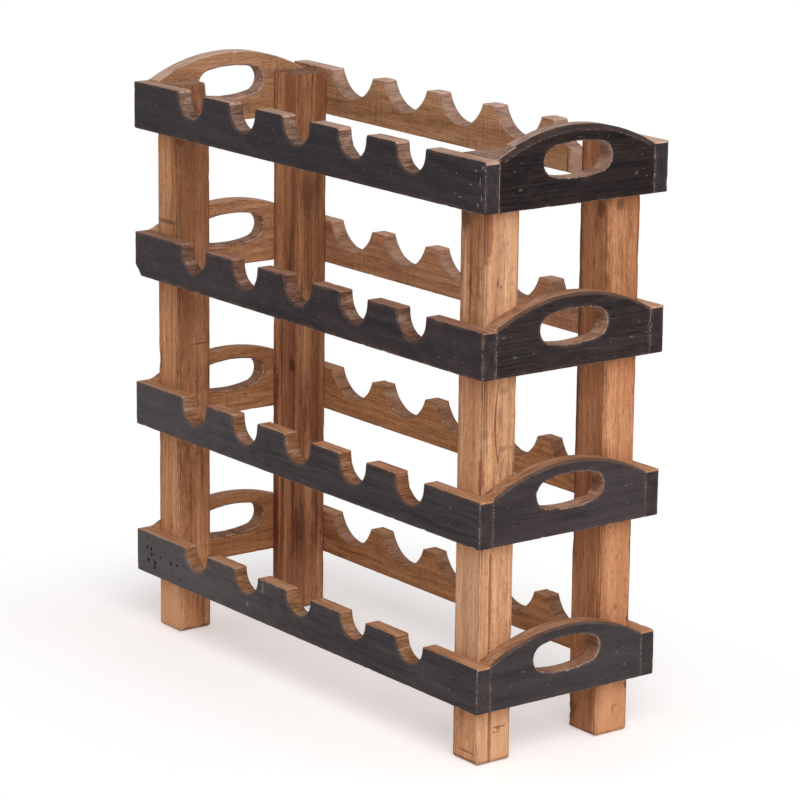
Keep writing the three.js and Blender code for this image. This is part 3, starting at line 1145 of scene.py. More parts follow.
@dataclass(frozen=True)
class RackSizes:
    """Sizes that all parts of the rack share."""

    length: float = 600.0
    depth: float = 224.5
    gap: float = 0.3
    front_post_width: float = 38.5
    back_post_width: float = 42.0
    post_depth: float = 40.0
    post_height: float = 599.1
    rail_thick: float = 17.0
    end_thick: float = 19.0
    places: int = 5
    pitch: float = 94.3
    notch_flare: float = math.radians(6)
    scallop_radius: float = 39.0
    scallop_depth: float = 27.0
    arch_rise: float = 25.0
    hole_length: float = 82.5
    hole_height: float = 34.0
    hole_bow: float = 3.0
    trim_lip: float = 5.0
    trim_length: float = 22.0
    chip_length: float = 11.0
    chip_height: float = 11.5

    @property
    def half(self) -> float:
        """Half of the length."""
        return self.length / 2

    @property
    def front(self) -> float:
        """Distance of the front and back faces from the middle."""
        return self.depth / 2

    @property
    def clear(self) -> float:
        """Half of the clear depth between the rails."""
        return self.depth / 2 - self.rail_thick

    @property
    def post_y(self) -> float:
        """Distance of the post centres from the middle, along the depth."""
        return self.clear - self.gap - self.post_depth / 2

    def post_x(self, width: float) -> float:
        """Distance of the centre of a post of some width from the middle, along the length."""
        return self.half - self.end_thick - self.gap - width / 2

    def centres(self, shift: float) -> list[float]:
        """Middles of the places from right to left, set out by a shift."""
        middle = (self.places - 1) / 2
        return [(place - middle) * self.pitch + shift for place in reversed(range(self.places))]


SIZES = RackSizes()


def tie(piece: bpy.types.Object, node: str) -> None:
    """Ties a finished piece to the node that it stands for.

    Args:
        piece: the piece.
        node: name of the node.
    """
    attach(piece, BODY)
    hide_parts(node)
    LOG.info("%s: %d faces", piece.name, len(piece.data.polygons))


@dataclass(frozen=True)
class Post:
    """A square post with worn corners that stands on its sawn foot.

    A chip is the number of its corner, its height, half its length, and its depth.
    """

    name: str
    x: float
    y: float
    width: float
    finish: WoodFinish
    chips: tuple[tuple[int, float, float, float], ...] = ()
    corner: float = 0.9
    foot_arris: float = 3.8
    top_arris: float = 1.0
    row_step: float = 2.8
    dents: int = 12
    side_samples: tuple[float, ...] = (0.9, 2.4, 5.0, 9.0, 14.0)
    side_wear: tuple[float, ...] = (0.6, 0.4, 0.22, 0.1, 0.0)
    side_meet: float = 0.47
    waves: Point3 = (23.0, 41.0, 90.0)
    wave_depth: float = 0.05
    arc_samples: int = 6

    CORNERS = ((1, -1), (1, 1), (-1, 1), (-1, -1))
    CORNER_SEED, WAVE_SEED = 7, 8
    KNOTS, SWING = 80, (0.7, 1.3)
    DENT_HALVES, DENT_DEPTH, DENT_SHARES, DENT_POWER = (4, 14), 1.5, (0.1, 1.0), 3
    WAVE_SHIFT, WAVE_MARGIN = 0.7, 5  # how the waves of a side run on, and where they start
    CAP_NEAR, CAP_FAR = 1, 5  # insets of the rings on a sawn end, beyond its arris
    ARC = np.radians((0.0, 22.5, 45.0, 67.5, 90.0))
    END_WEAR, END_SLANT = 0.8, 0.5  # wear round a sawn end, and how its saw lines lie

    def _corner_radii(self, heights: np.ndarray) -> np.ndarray:
        """Gives the radius of each corner at each height, with chips and dents.

        Args:
            heights: the heights.

        Returns:
            Radii, a row for each corner.
        """
        rng = np.random.default_rng([self.finish.seed, self.CORNER_SEED])
        top, knots = SIZES.post_height, self.KNOTS
        rows = []
        for corner in range(len(self.CORNERS)):
            values = rng.uniform(*self.SWING, knots)
            radii = self.corner * np.interp(heights, np.linspace(0, top, knots), values)
            dents = [(rng.uniform(0, top), rng.uniform(*self.DENT_HALVES),
                      self.DENT_DEPTH * rng.uniform(*self.DENT_SHARES) ** self.DENT_POWER)
                     for _ in range(self.dents)]
            dents += [chip[1:] for chip in self.chips if chip[0] == corner]
            for spot, half, depth in dents:
                radii = radii + depth * np.clip(1 - ((heights - spot) / half) ** 2, 0, 1)
            rows.append(radii)
        return np.array(rows)

    def _on_corner(self, corner: int, reach: np.ndarray, insets: np.ndarray, angle: float) -> np.ndarray:
        """Finds the points at one angle of a rounded corner.

        Args:
            corner: number of the corner.
            reach: distance of its centre from the sides, at each height.
            insets: how far each height is drawn in.
            angle: the angle.

        Returns:
            A point for each height.
        """
        half = (self.width / 2, SIZES.post_depth / 2)
        return np.stack([sign * (wide - reach) + (reach - insets) * turn for sign, wide, turn in zip(
            self.CORNERS[corner], half, (math.cos(angle), math.sin(angle)))], -1)

    def _rings(self, heights: np.ndarray, insets: np.ndarray) -> tuple[np.ndarray, np.ndarray]:
        """Lays a ring of points round the post at each height.

        Args:
            heights: the heights.
            insets: how far each is drawn in.

        Returns:
            The points about the post's middle, and how worn each place of a ring is.
        """
        reach = np.maximum(self._corner_radii(heights), insets)
        rng = np.random.default_rng([self.finish.seed, self.WAVE_SEED])
        phases = rng.uniform(0, 2 * math.pi, (len(self.CORNERS), len(self.waves)))
        marks = [*self.side_samples, *(-mark for mark in reversed(self.side_samples))]
        spots, worn = [], []
        for corner, (sx, sy) in enumerate(self.CORNERS):
            start = math.atan2(sy, sx) - math.pi / 4
            for share in np.arange(self.arc_samples) / (self.arc_samples - 1):
                spots.append(self._on_corner(corner, reach[corner], insets, start + share * math.pi / 2))
                worn.append(arris_wear(share))
            angle, onward = start + math.pi / 2, (corner + 1) % len(self.CORNERS)
            first, last = spots[-1], self._on_corner(onward, reach[onward], insets, angle)
            inward = -np.array([math.cos(angle), math.sin(angle)])
            span = np.linalg.norm(last - first, axis=1)
            snug = np.minimum(1 / span, self.side_meet / self.side_samples[-1])
            for number, mark in enumerate(marks):
                share = mark * snug if mark > 0 else 1 + mark * snug
                wave = sum(np.sin(heights / length + number * self.WAVE_SHIFT + phase)
                           for length, phase in zip(self.waves, phases[corner]))
                sunk = self.wave_depth * (wave + len(self.waves)) * min(abs(mark) / self.WAVE_MARGIN, 1)
                spots.append(first + (last - first) * share[:, None] + inward * sunk[:, None])
                worn.append(self.side_wear[min(number, len(marks) - 1 - number)])
        return np.stack(spots, 1), np.array(worn)

    def build(self) -> bpy.types.Object:
        """Builds the post.

        Returns:
            The post as an object at the origin.
        """
        top, foot, head = SIZES.post_height, self.foot_arris, self.top_arris
        drop, draw = 1 - np.cos(self.ARC), 1 - np.sin(self.ARC)
        middle = np.arange(foot + 1, top - head - 1, self.row_step)
        heights = np.array([0.0, 0.0, *foot * drop, *middle, *(top - head * drop[::-1]), top, top])
        far, near = self.CAP_FAR, self.CAP_NEAR
        insets = np.array([foot + far, foot + near, *foot * draw, *np.zeros(len(middle)), *head * draw[::-1],
                           head + near, head + far])
        grid, worn = self._rings(heights, insets)
        rows, count = grid.shape[:2]
        points = np.concatenate([grid + np.array([self.x, self.y]),
                                 np.broadcast_to(heights[:, None, None], (rows, count, 1))], -1)
        faces = ring_faces(0, rows, count)
        faces += [tuple(range(count)), tuple(range((rows - 1) * count, rows * count))]
        wear = np.tile(worn, (rows, 1))
        wear[2:7] = wear[-7:-2] = np.maximum(wear[2:7], self.END_WEAR)
        wear[[0, 1, -2, -1]] = 0.0
        ends = np.zeros((rows, count))
        ends[:3] = ends[-3:] = TOP_CUT.sawn
        path = points[..., 0] * self.END_SLANT + points[..., 1]
        values = (wear, np.zeros((rows, count)), ends, path)
        return mesh_object(self.name + "_wood", points.reshape(-1, 3), faces,
                           {key: value.reshape(-1) for key, value in zip(LAYERS, values)})

    def dress(self, piece: bpy.types.Object) -> None:
        """Gives the post its finish and ties it to its node."""
        piece.data.materials.append(self.finish.material(self.name + "_finish"))
        tie(piece, self.name)


@dataclass(frozen=True)
class Tray:
    """A frame of four boards: a notched front rail, a scalloped back rail and two arched ends."""

    number: int
    base: float
    height: float
    wood: Wood
    rail_stain: Stain
    end_stain: Stain
    front_top: Colour
    front_wall: Colour
    notch_width: float = 46.0
    notch_depth: float = 27.0
    front_shift: float = 0.0
    back_shift: float = 0.0
    back_slope: float = 0.0
    hole_base: float = 25.5
    is_broken: bool = False
    is_trimmed: bool = False
    rim: float = 1.3
    rim_stain: float = 0.55
    corner_wear: float = 1.2
    arch_bevel: float = 2.0
    arch_stain: float = 0.53
    trimmed_bevel: float = 5.0
    trimmed_stain: float = 0.57
    hole_rubbed: float = 1.1
    front_lines: float = 0.62

    WEAR_SEEDS, FINISH_SEEDS = 40, 100  # set aside for each tray

    def front_outline(self) -> Outline:
        """Outline of the front rail as seen from the front.

        Returns:
            The outline.
        """
        half, height = SIZES.half, self.height
        flare, wide = SIZES.notch_flare, self.notch_width / 2
        radius = (wide - self.notch_depth * math.tan(flare)) / (
            math.cos(flare) - math.tan(flare) * (1 - math.sin(flare)))
        middle = height - self.notch_depth + radius
        reach, low = radius * math.cos(flare), middle - radius * math.sin(flare)
        wall = Edge(sawn=1.0, bevel=self.rim, bevel_stain=self.rim_stain)
        stretches: list[Stretch] = []
        corner = foot = (-half, 0.0)
        if self.is_broken:
            corner, foot = (-half, SIZES.chip_height), (-half + SIZES.chip_length, 0.0)
            stretches.append(Straight(corner, foot, BREAK))
        stretches += [Straight(foot, (half, 0.0)), Straight((half, 0.0), (half, height), STAINED)]
        start = (half, height)
        for centre in SIZES.centres(self.front_shift):
            right, left = (centre + wide, height), (centre - wide, height)
            stretches += [Straight(start, right, TOP_CUT), Straight(right, (centre + reach, low), wall),
                          Bend((centre, middle), radius, -flare, -(math.pi - 2 * flare), wall),
                          Straight((centre - reach, low), left, wall)]
            start = left
        stretches += [Straight(start, (-half, height), TOP_CUT), Straight((-half, height), corner, STAINED)]
        return Outline(stretches, self.corner_wear)

    def back_outline(self) -> Outline:
        """Outline of the back rail as seen from the front.

        Returns:
            The outline.
        """
        half, height, radius = SIZES.half, self.height, SIZES.scallop_radius
        lip = math.asin((SIZES.scallop_depth - radius) / radius)
        wide = radius * math.cos(lip)
        middle = height - SIZES.scallop_depth + radius
        stretches: list[Stretch] = [Straight((-half, 0.0), (half, 0.0)),
                                    Straight((half, 0.0), (half, height), STAINED)]
        start = (half, height)
        for centre in SIZES.centres(self.back_shift):
            stretches += [Straight(start, (centre + wide, height), TOP_CUT),
                          Bend((centre, middle), radius, lip, -(math.pi + 2 * lip))]
            start = (centre - wide, height)
        stretches += [Straight(start, (-half, height), TOP_CUT), Straight((-half, height), (-half, 0.0), STAINED)]
        return Outline(stretches)

    def end_outlines(self, bevel: float) -> list[Outline]:
        """Outlines of an end board and of its hand-hole, as seen from the right.

        Args:
            bevel: flat bevel on the outer arris of its arch.

        Returns:
            The edge and the hole.
        """
        half, height, rise = SIZES.clear - SIZES.gap, self.height, SIZES.arch_rise
        radius = (half**2 + rise**2) / (2 * rise)
        middle = height + rise - radius
        spring = math.atan2(height - middle, half)
        stain = self.trimmed_stain if self.is_trimmed else self.arch_stain
        arch = Edge(TOP_CUT.sawn, bevel=bevel, bevel_stain=stain)
        edge = Outline([Straight((-half, 0.0), (half, 0.0)), Straight((half, 0.0), (half, height), STAINED),
                        Bend((0.0, middle), radius, spring, math.pi - 2 * spring, arch),
                        Straight((-half, height), (-half, 0.0), PLAIN if self.is_trimmed else STAINED)])
        tall = SIZES.hole_height / 2
        round_end = tall - SIZES.hole_bow
        reach = SIZES.hole_length / 2 - round_end
        centre = self.hole_base + tall
        side = (reach**2 + tall**2 - round_end**2) / (2 * SIZES.hole_bow)
        drop = side - tall
        turn = math.atan2(drop, reach)
        sweep = -(math.pi - 2 * turn)
        hole = Outline([Bend((reach, centre), round_end, turn, -2 * turn),
                        Bend((0.0, centre + drop), side, -turn, sweep),
                        Bend((-reach, centre), round_end, math.pi + turn, -2 * turn),
                        Bend((0.0, centre - drop), side, math.pi - turn, sweep)], rubbed=self.hole_rubbed)
        return [edge, hole]

    def build(self) -> dict[str, bpy.types.Object]:
        """Builds the four boards.

        Returns:
            The boards by the last part of their node names.
        """
        half, front, base, slope = SIZES.half, SIZES.front, self.base, self.back_slope
        rail, end = SIZES.rail_thick, SIZES.end_thick
        right_bevel = self.trimmed_bevel if self.is_trimmed else self.arch_bevel
        layout = {
            "front_rail": ([self.front_outline()], rail, Place((0, -front, base), (1, 0, 0), (0, 1, 0))),
            "back_rail": ([self.back_outline()], rail,
                          Place((0, front, base + slope * half), (1, 0, 0), (0, -1, 0), slope)),
            "left_end_board": (self.end_outlines(self.arch_bevel), end,
                               Place((-half, 0, base), (0, 1, 0), (1, 0, 0))),
            "right_end_board": (self.end_outlines(right_bevel), end,
                                Place((half, 0, base), (0, 1, 0), (-1, 0, 0))),
        }
        boards = {}
        for seed, (key, (outlines, thick, place)) in enumerate(layout.items(), self.WEAR_SEEDS * self.number):
            boards[key] = Slab(outlines, thick, place, Wear(seed)).build(f"tier{self.number}_{key}_wood")
        if self.is_trimmed:
            self._trim(boards["right_end_board"])
        return boards

    def _trim(self, board: bpy.types.Object) -> None:
        """Cuts the inner part of the right board's arch down to the rail top, next to the front rail.

        Args:
            board: the board.
        """
        top, over, near = self.base + self.height, 2.0, 0.01
        low = np.array([SIZES.half - SIZES.end_thick - over, -SIZES.clear - over, top])
        high = np.array([SIZES.half - SIZES.trim_lip, -SIZES.clear + SIZES.trim_length, top + 2 * SIZES.arch_rise])
        mesh = bpy.data.meshes.new("trim_cut")
        work = bmesh.new()
        bmesh.ops.create_cube(work, size=1.0)
        work.to_mesh(mesh)
        work.free()
        mesh.transform(Matrix.LocRotScale(Vector((low + high) / 2 * MM), None, Vector((high - low) * MM)))
        cutter = place_in_scene("trim_cut", mesh)
        cut = board.modifiers.new("trim", "BOOLEAN")
        cut.object, cut.operation, cut.solver = cutter, "DIFFERENCE", "EXACT"
        result = settle(board)
        spots = np.array([vertex.co for vertex in result.vertices]) / MM
        within = np.all((spots > low - near) & (spots < high + near), axis=1)
        for layer, value in (("sawn", TOP_CUT.sawn), ("stain", 0.0)):
            values = np.empty(len(spots), np.float32)
            result.attributes[layer].data.foreach_get("value", values)
            values[within] = value
            result.attributes[layer].data.foreach_set("value", values)
        result.set_sharp_from_angle(angle=SHARP_ANGLE)
        bpy.data.objects.remove(cutter)

    def finishes(self) -> dict[str, WoodFinish]:
        """Picks the finish of each board.

        Returns:
            The finishes by the last part of the boards' node names.
        """
        seed, wood = self.FINISH_SEEDS * self.number, self.wood
        rail, end = self.rail_stain, self.end_stain
        front = replace(wood, cut=self.front_top, wall=self.front_wall)
        return {
            "front_rail": WoodFinish(front, Grain.RAIL, seed + 1, rail, front_rail_marks(self), self.front_lines),
            "back_rail": WoodFinish(wood, Grain.RAIL, seed + 2, rail, back_rail_marks(self)),
            "left_end_board": WoodFinish(replace(wood, arch=wood.cut), Grain.END_BOARD, seed + 3, end),
            "right_end_board": WoodFinish(wood, Grain.END_BOARD, seed + 4, end, right_end_marks(self)),
        }

    def dress(self, boards: dict[str, bpy.types.Object]) -> None:
        """Gives the boards their finishes and ties them to their nodes.

        Args:
            boards: the boards.
        """
        for key, finish in self.finishes().items():
            node = f"tier{self.number}_{key}"
            boards[key].data.materials.append(finish.material(node + "_finish"))
            tie(boards[key], node)


@dataclass(frozen=True)
class NailSteel:
    """Dull steel of the nail heads, with rust in patches."""

    bright: Colour = srgb(118, 110, 105)
    rust: Colour = srgb(60, 48, 44)
    metal: float = 0.7

    RELIEF_DEPTH, RELIEF_STRENGTH = 0.0002, 0.4
    RUSTY, ROUGHNESS = (0.42, 0.6), (0.3, 0.7, 0.38, 0.75)

    def material(self, name: str) -> bpy.types.Material:
        """Builds the material.

        Args:
            name: its name.

        Returns:
            The material.
        """
        paint = Paint(name)
        paint.relief = paint.cloud(paint.rack, 3, 0.6)
        paint.colour = paint.blend(paint.slide(paint.relief, *self.RUSTY), self.bright, self.rust)
        paint.rough = paint.slide(paint.relief, *self.ROUGHNESS)
        return paint.close(self.RELIEF_DEPTH, self.RELIEF_STRENGTH, self.metal)


@dataclass(frozen=True)
class Nails:
    """Nail heads, two at each board end, set by a node tree."""

    trays: list[Tray]
    finish: NailSteel = NailSteel()
    head: float = 1.5
    proud: float = 0.22
    seed: int = 5
    rail_heights: Span = (0.31, 0.64)
    end_heights: Span = (0.41, 0.77)
    aside: float = 4.0

    RAIL_STRAY, RAIL_RISE, END_STRAY = 4, 2, 3  # how far nails stray from their places
    SIDES, TAPER, SPREAD = 14, 0.62, (0.75, 1.0)
    TALL, SUNK = 4.0, 3.0  # height of a head and its part in the wood, in heights of its proud part

    def _spots(self) -> tuple[np.ndarray, np.ndarray]:
        """Finds the nails' places and the ways that their heads face.

        Returns:
            The places in metres, and the directions.
        """
        rng = np.random.default_rng(self.seed)
        spots, ways = [], []
        for tray in self.trays:
            for side in (-1, 1):
                for way, width in ((-1, SIZES.front_post_width), (1, SIZES.back_post_width)):
                    post = SIZES.post_x(width)
                    lift = tray.back_slope * (SIZES.half - side * post) if way > 0 else 0.0
                    for height in self.rail_heights:
                        x = side * (post - self.aside) + rng.uniform(-self.RAIL_STRAY, self.RAIL_STRAY)
                        z = tray.base + tray.height * height + lift
                        z += rng.uniform(-self.RAIL_RISE, self.RAIL_RISE)
                        spots.append((x, way * (SIZES.front - SKIN), z))
                        ways.append((0, way, 0))
                for end in (-1, 1):
                    for height, aside in zip(self.end_heights, (-self.aside, self.aside)):
                        y = end * (SIZES.post_y + aside) + rng.uniform(-self.END_STRAY, self.END_STRAY)
                        z = tray.base + tray.height * height
                        z += rng.uniform(-self.END_STRAY, self.END_STRAY)
                        spots.append((side * (SIZES.half - SKIN), y, z))
                        ways.append((side, 0, 0))
        return np.array(spots) * MM, np.array(ways, float)

    def _tree(self, material: bpy.types.Material) -> bpy.types.NodeTree:
        """Builds the node tree that sets a domed head at each point.

        Args:
            material: the heads' material.

        Returns:
            The tree.
        """
        tree = bpy.data.node_groups.new("nail_heads", "GeometryNodeTree")
        for name, way, kind in (("Geometry", "INPUT", "Geometry"), ("Head Radius", "INPUT", "Float"),
                                ("Proud", "INPUT", "Float"), ("Seed", "INPUT", "Int"),
                                ("Geometry", "OUTPUT", "Geometry")):
            tree.interface.new_socket(name, in_out=way, socket_type="NodeSocket" + kind)
        wiring = Wiring(tree)
        given = wiring.node("NodeGroupInput", {}).outputs
        head = wiring.node("GeometryNodeMeshCone", {
            "Vertices": self.SIDES, "Side Segments": 2, "Fill Segments": 2,
            "Radius Top": wiring.times(given["Head Radius"], self.TAPER), "Radius Bottom": given["Head Radius"],
            "Depth": wiring.times(given["Proud"], self.TALL)})
        placed = wiring.node("GeometryNodeTransform", {
            "Geometry": head.outputs["Mesh"],
            "Translation": wiring.join(0.0, 0.0, wiring.times(given["Proud"], -self.SUNK))})
        facing = wiring.node("GeometryNodeInputNamedAttribute", {"Name": "facing"}, data_type="FLOAT_VECTOR")
        turned = wiring.node("FunctionNodeAlignRotationToVector", {"Vector": facing.outputs[0]}, axis="Z")
        size = wiring.node("FunctionNodeRandomValue", {2: self.SPREAD[0], 3: self.SPREAD[1], "Seed": given["Seed"]},
                           data_type="FLOAT").outputs[1]
        heads = wiring.node("GeometryNodeInstanceOnPoints", {
            "Points": given["Geometry"], "Instance": placed.outputs[0], "Rotation": turned.outputs[0],
            "Scale": wiring.join(size, size, 1.0)})
        real = wiring.node("GeometryNodeRealizeInstances", {"Geometry": heads.outputs[0]})
        painted = wiring.node("GeometryNodeSetMaterial", {"Geometry": real.outputs[0], "Material": material})
        wiring.node("NodeGroupOutput", {0: painted.outputs[0]})
        return tree

    def build(self) -> bpy.types.Object:
        """Builds all heads as one piece.

        Returns:
            The piece, at the origin.
        """
        spots, ways = self._spots()
        mesh = bpy.data.meshes.new("nail_spots")
        mesh.from_pydata(spots.tolist(), [], [])
        facing = mesh.attributes.new("facing", "FLOAT_VECTOR", "POINT")
        facing.data.foreach_set("vector", ways.astype(np.float32).ravel())
        piece = place_in_scene("nails", mesh)
        heads = piece.modifiers.new("heads", "NODES")
        heads.node_group = tree = self._tree(self.finish.material("nail_finish"))
        sizes = {"Head Radius": self.head * MM, "Proud": self.proud * MM, "Seed": self.seed}
        for item in tree.interface.items_tree:
            if item.in_out == "INPUT" and item.name in sizes:
                heads[item.identifier] = sizes[item.name]
        settle(piece)
        return piece

    def dress(self, piece: bpy.types.Object) -> None:
        """Ties the nails to the rack.

        Args:
            piece: the nails.
        """
        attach(piece, BODY)
        LOG.info("%s: %d faces", piece.name, len(piece.data.polygons))


@dataclass(frozen=True)
class Studio:
    """Floor, soft light and camera."""

    azimuth: float = math.radians(52.89)
    elevation: float = math.radians(13.83)
    roll: float = math.radians(0.65)
    distance: float = 3540.28
    target: Point3 = (0.29, 18.56, 294.26)
    lens: float = 154.11
    sensor: float = 36.0
    world_tone: Colour = (1.0, 0.985, 0.97, 1.0)
    world_light: float = 0.5
    key_power: float = 58.0
    key_way: Point3 = (0.78, -0.38, 0.56)
    key_distance: float = 3.0
    key_lift: float = 0.3
    key_side: float = 2.0
    floor_tone: Colour = srgb(242, 238, 238)
    floor_glow: float = 0.32
    floor_reach: float = 6.0
    floor_level: float = -0.0004
    footprint: Point3 = (300.0, 110.0, 1000.0)
    floor_fade: Span = (30.0, 300.0)

    def set_camera(self) -> None:
        """Puts the camera where the rack is seen from."""
        level = math.cos(self.elevation)
        back = Vector((math.sin(self.azimuth) * level, -math.cos(self.azimuth) * level, math.sin(self.elevation)))
        right = (-back).cross(Vector((0, 0, 1))).normalized()
        up = right.cross(-back)
        turned = right * math.cos(self.roll) + up * math.sin(self.roll)
        upright = up * math.cos(self.roll) - right * math.sin(self.roll)
        camera = place_in_scene("camera", bpy.data.cameras.new("camera"))
        camera.data.lens, camera.data.sensor_width = self.lens, self.sensor
        spot = (Vector(self.target) + back * self.distance) * MM
        axes = Matrix((turned, upright, back)).transposed().to_4x4()
        camera.matrix_world = Matrix.Translation(spot) @ axes
        bpy.context.scene.camera = camera

    def set_light(self) -> None:
        """Lights the rack softly from the right, above and a little in front."""
        lamp = bpy.data.lights.new("key", "AREA")
        lamp.energy, lamp.shape, lamp.size = self.key_power, "SQUARE", self.key_side
        key = place_in_scene("key", lamp)
        way = Vector(self.key_way).normalized()
        key.location = way * self.key_distance + Vector((0, 0, self.key_lift))
        key.rotation_euler = way.to_track_quat("Z", "Y").to_euler()
        world = bpy.data.worlds.new("studio")
        world.use_nodes = True
        sky = Wiring(world.node_tree)
        light = sky.node("ShaderNodeBackground", {"Color": self.world_tone, "Strength": self.world_light})
        white = sky.node("ShaderNodeBackground", {"Color": WHITE})
        pick = sky.node("ShaderNodeMixShader", {0: sky.seen(), 1: light.outputs[0], 2: white.outputs[0]})
        sky.node("ShaderNodeOutputWorld", {"Surface": pick.outputs[0]})
        bpy.context.scene.world = world
        bpy.context.scene.view_settings.view_transform = "Standard"

    def set_floor(self) -> None:
        """Lays a pale floor that fades to white away from the rack and keeps its shadow."""
        mesh = bpy.data.meshes.new("floor")
        reach = self.floor_reach
        corners = ((-reach, -reach), (reach, -reach), (reach, reach), (-reach, reach))
        mesh.from_pydata([(*corner, self.floor_level) for corner in corners], [], [(0, 1, 2, 3)])
        paint = Paint("floor_paint")
        beyond = paint.vector("SUBTRACT", paint.vector("ABSOLUTE", paint.rack), self.footprint)
        away = paint.vector("LENGTH", paint.vector("MAXIMUM", beyond, (0.0, 0.0, 0.0)))
        seen = paint.seen()
        diffuse = paint.node("ShaderNodeBsdfDiffuse", {"Color": self.floor_tone})
        glow = paint.node("ShaderNodeEmission", {"Color": WHITE, "Strength": paint.times(seen, self.floor_glow)})
        near = paint.node("ShaderNodeAddShader", {0: diffuse.outputs[0], 1: glow.outputs[0]})
        far = paint.node("ShaderNodeEmission", {"Color": WHITE, "Strength": 1.0})
        fade = paint.times(paint.slide(away, *self.floor_fade), seen)
        both = paint.node("ShaderNodeMixShader", {0: fade, 1: near.outputs[0], 2: far.outputs[0]})
        paint.node("ShaderNodeOutputMaterial", {"Surface": both.outputs[0]})
        mesh.materials.append(paint.material)
        place_in_scene("floor", mesh)


# The rack's own finishes and marks

TAN_POST = Wood(srgb(234, 186, 144), srgb(178, 120, 82), srgb(194, 134, 94), srgb(116, 98, 94),
                srgb(170, 128, 102), band_show=0.7, fleck_show=0.55, dirt_show=0.52)
ORANGE_POST = Wood(srgb(224, 166, 122), srgb(168, 108, 72), srgb(184, 122, 84), srgb(104, 76, 62),
                   srgb(160, 120, 96), fleck_show=0.5)
WARM_POST = Wood(srgb(234, 178, 132), srgb(168, 110, 74), srgb(188, 126, 86), srgb(126, 100, 80),
                 srgb(160, 120, 96), band_show=0.7, fleck_show=0.55, dirt_show=0.55)
BROWN_POST = Wood(srgb(212, 154, 112), srgb(132, 86, 58), srgb(142, 90, 62), srgb(104, 76, 62),
                  srgb(160, 120, 96), band_show=0.9, dirt_show=0.55, grime=0.15, edge_show=0.12)
BOARD = Wood(srgb(204, 150, 104), srgb(138, 90, 58), srgb(160, 106, 70), srgb(186, 136, 102),
             srgb(156, 114, 88), fleck_show=0.36, kerf_show=0.24)
ROSE_BOARD = Wood(srgb(206, 156, 118), srgb(138, 94, 66), srgb(160, 110, 78), srgb(212, 166, 136),
                  srgb(160, 120, 98), fleck_show=0.36, kerf_show=0.24)
PINK_BOARD = Wood(srgb(196, 150, 112), srgb(136, 94, 66), srgb(152, 108, 76), srgb(220, 186, 170),
                  srgb(156, 120, 102), srgb(158, 136, 130), fleck_show=0.3, kerf_show=0.34)
NIGHT_RAIL = Stain(srgb(37, 33, 36), srgb(64, 57, 61), 0.6, 0.3, 0.4, blotch=0.2, rub=0.25)
PLUM_RAIL = Stain(srgb(38, 31, 34), srgb(65, 56, 58), 0.55, 0.3, 0.4, blotch=0.5, rub=0.6)
DUSK_RAIL = Stain(srgb(43, 38, 40), srgb(77, 69, 71), 0.6, 0.35, 0.4, blotch=0.2, rub=0.3)
SLATE_RAIL = Stain(srgb(48, 43, 45), srgb(79, 72, 74), 0.45, 0.25, 0.4, 0.15, blotch=0.15, rub=0.2)
BLACK_END = Stain(srgb(12, 7, 9), srgb(49, 36, 36), 0.8, 0.25, 0.35, blotch=0.15, rub=0.1)
SCRATCHED_END = Stain(srgb(28, 21, 23), srgb(60, 50, 49), 0.7, 0.7, 0.4, blotch=0.25, rub=0.3)
DUSK_END = Stain(srgb(48, 41, 43), srgb(76, 66, 68), 0.42, 0.3, 0.4, blotch=0.2, rub=0.2)
SLATE_END = Stain(srgb(51, 46, 48), srgb(75, 68, 70), 0.36, 0.2, 0.4, 0.15, blotch=0.15, rub=0.15)


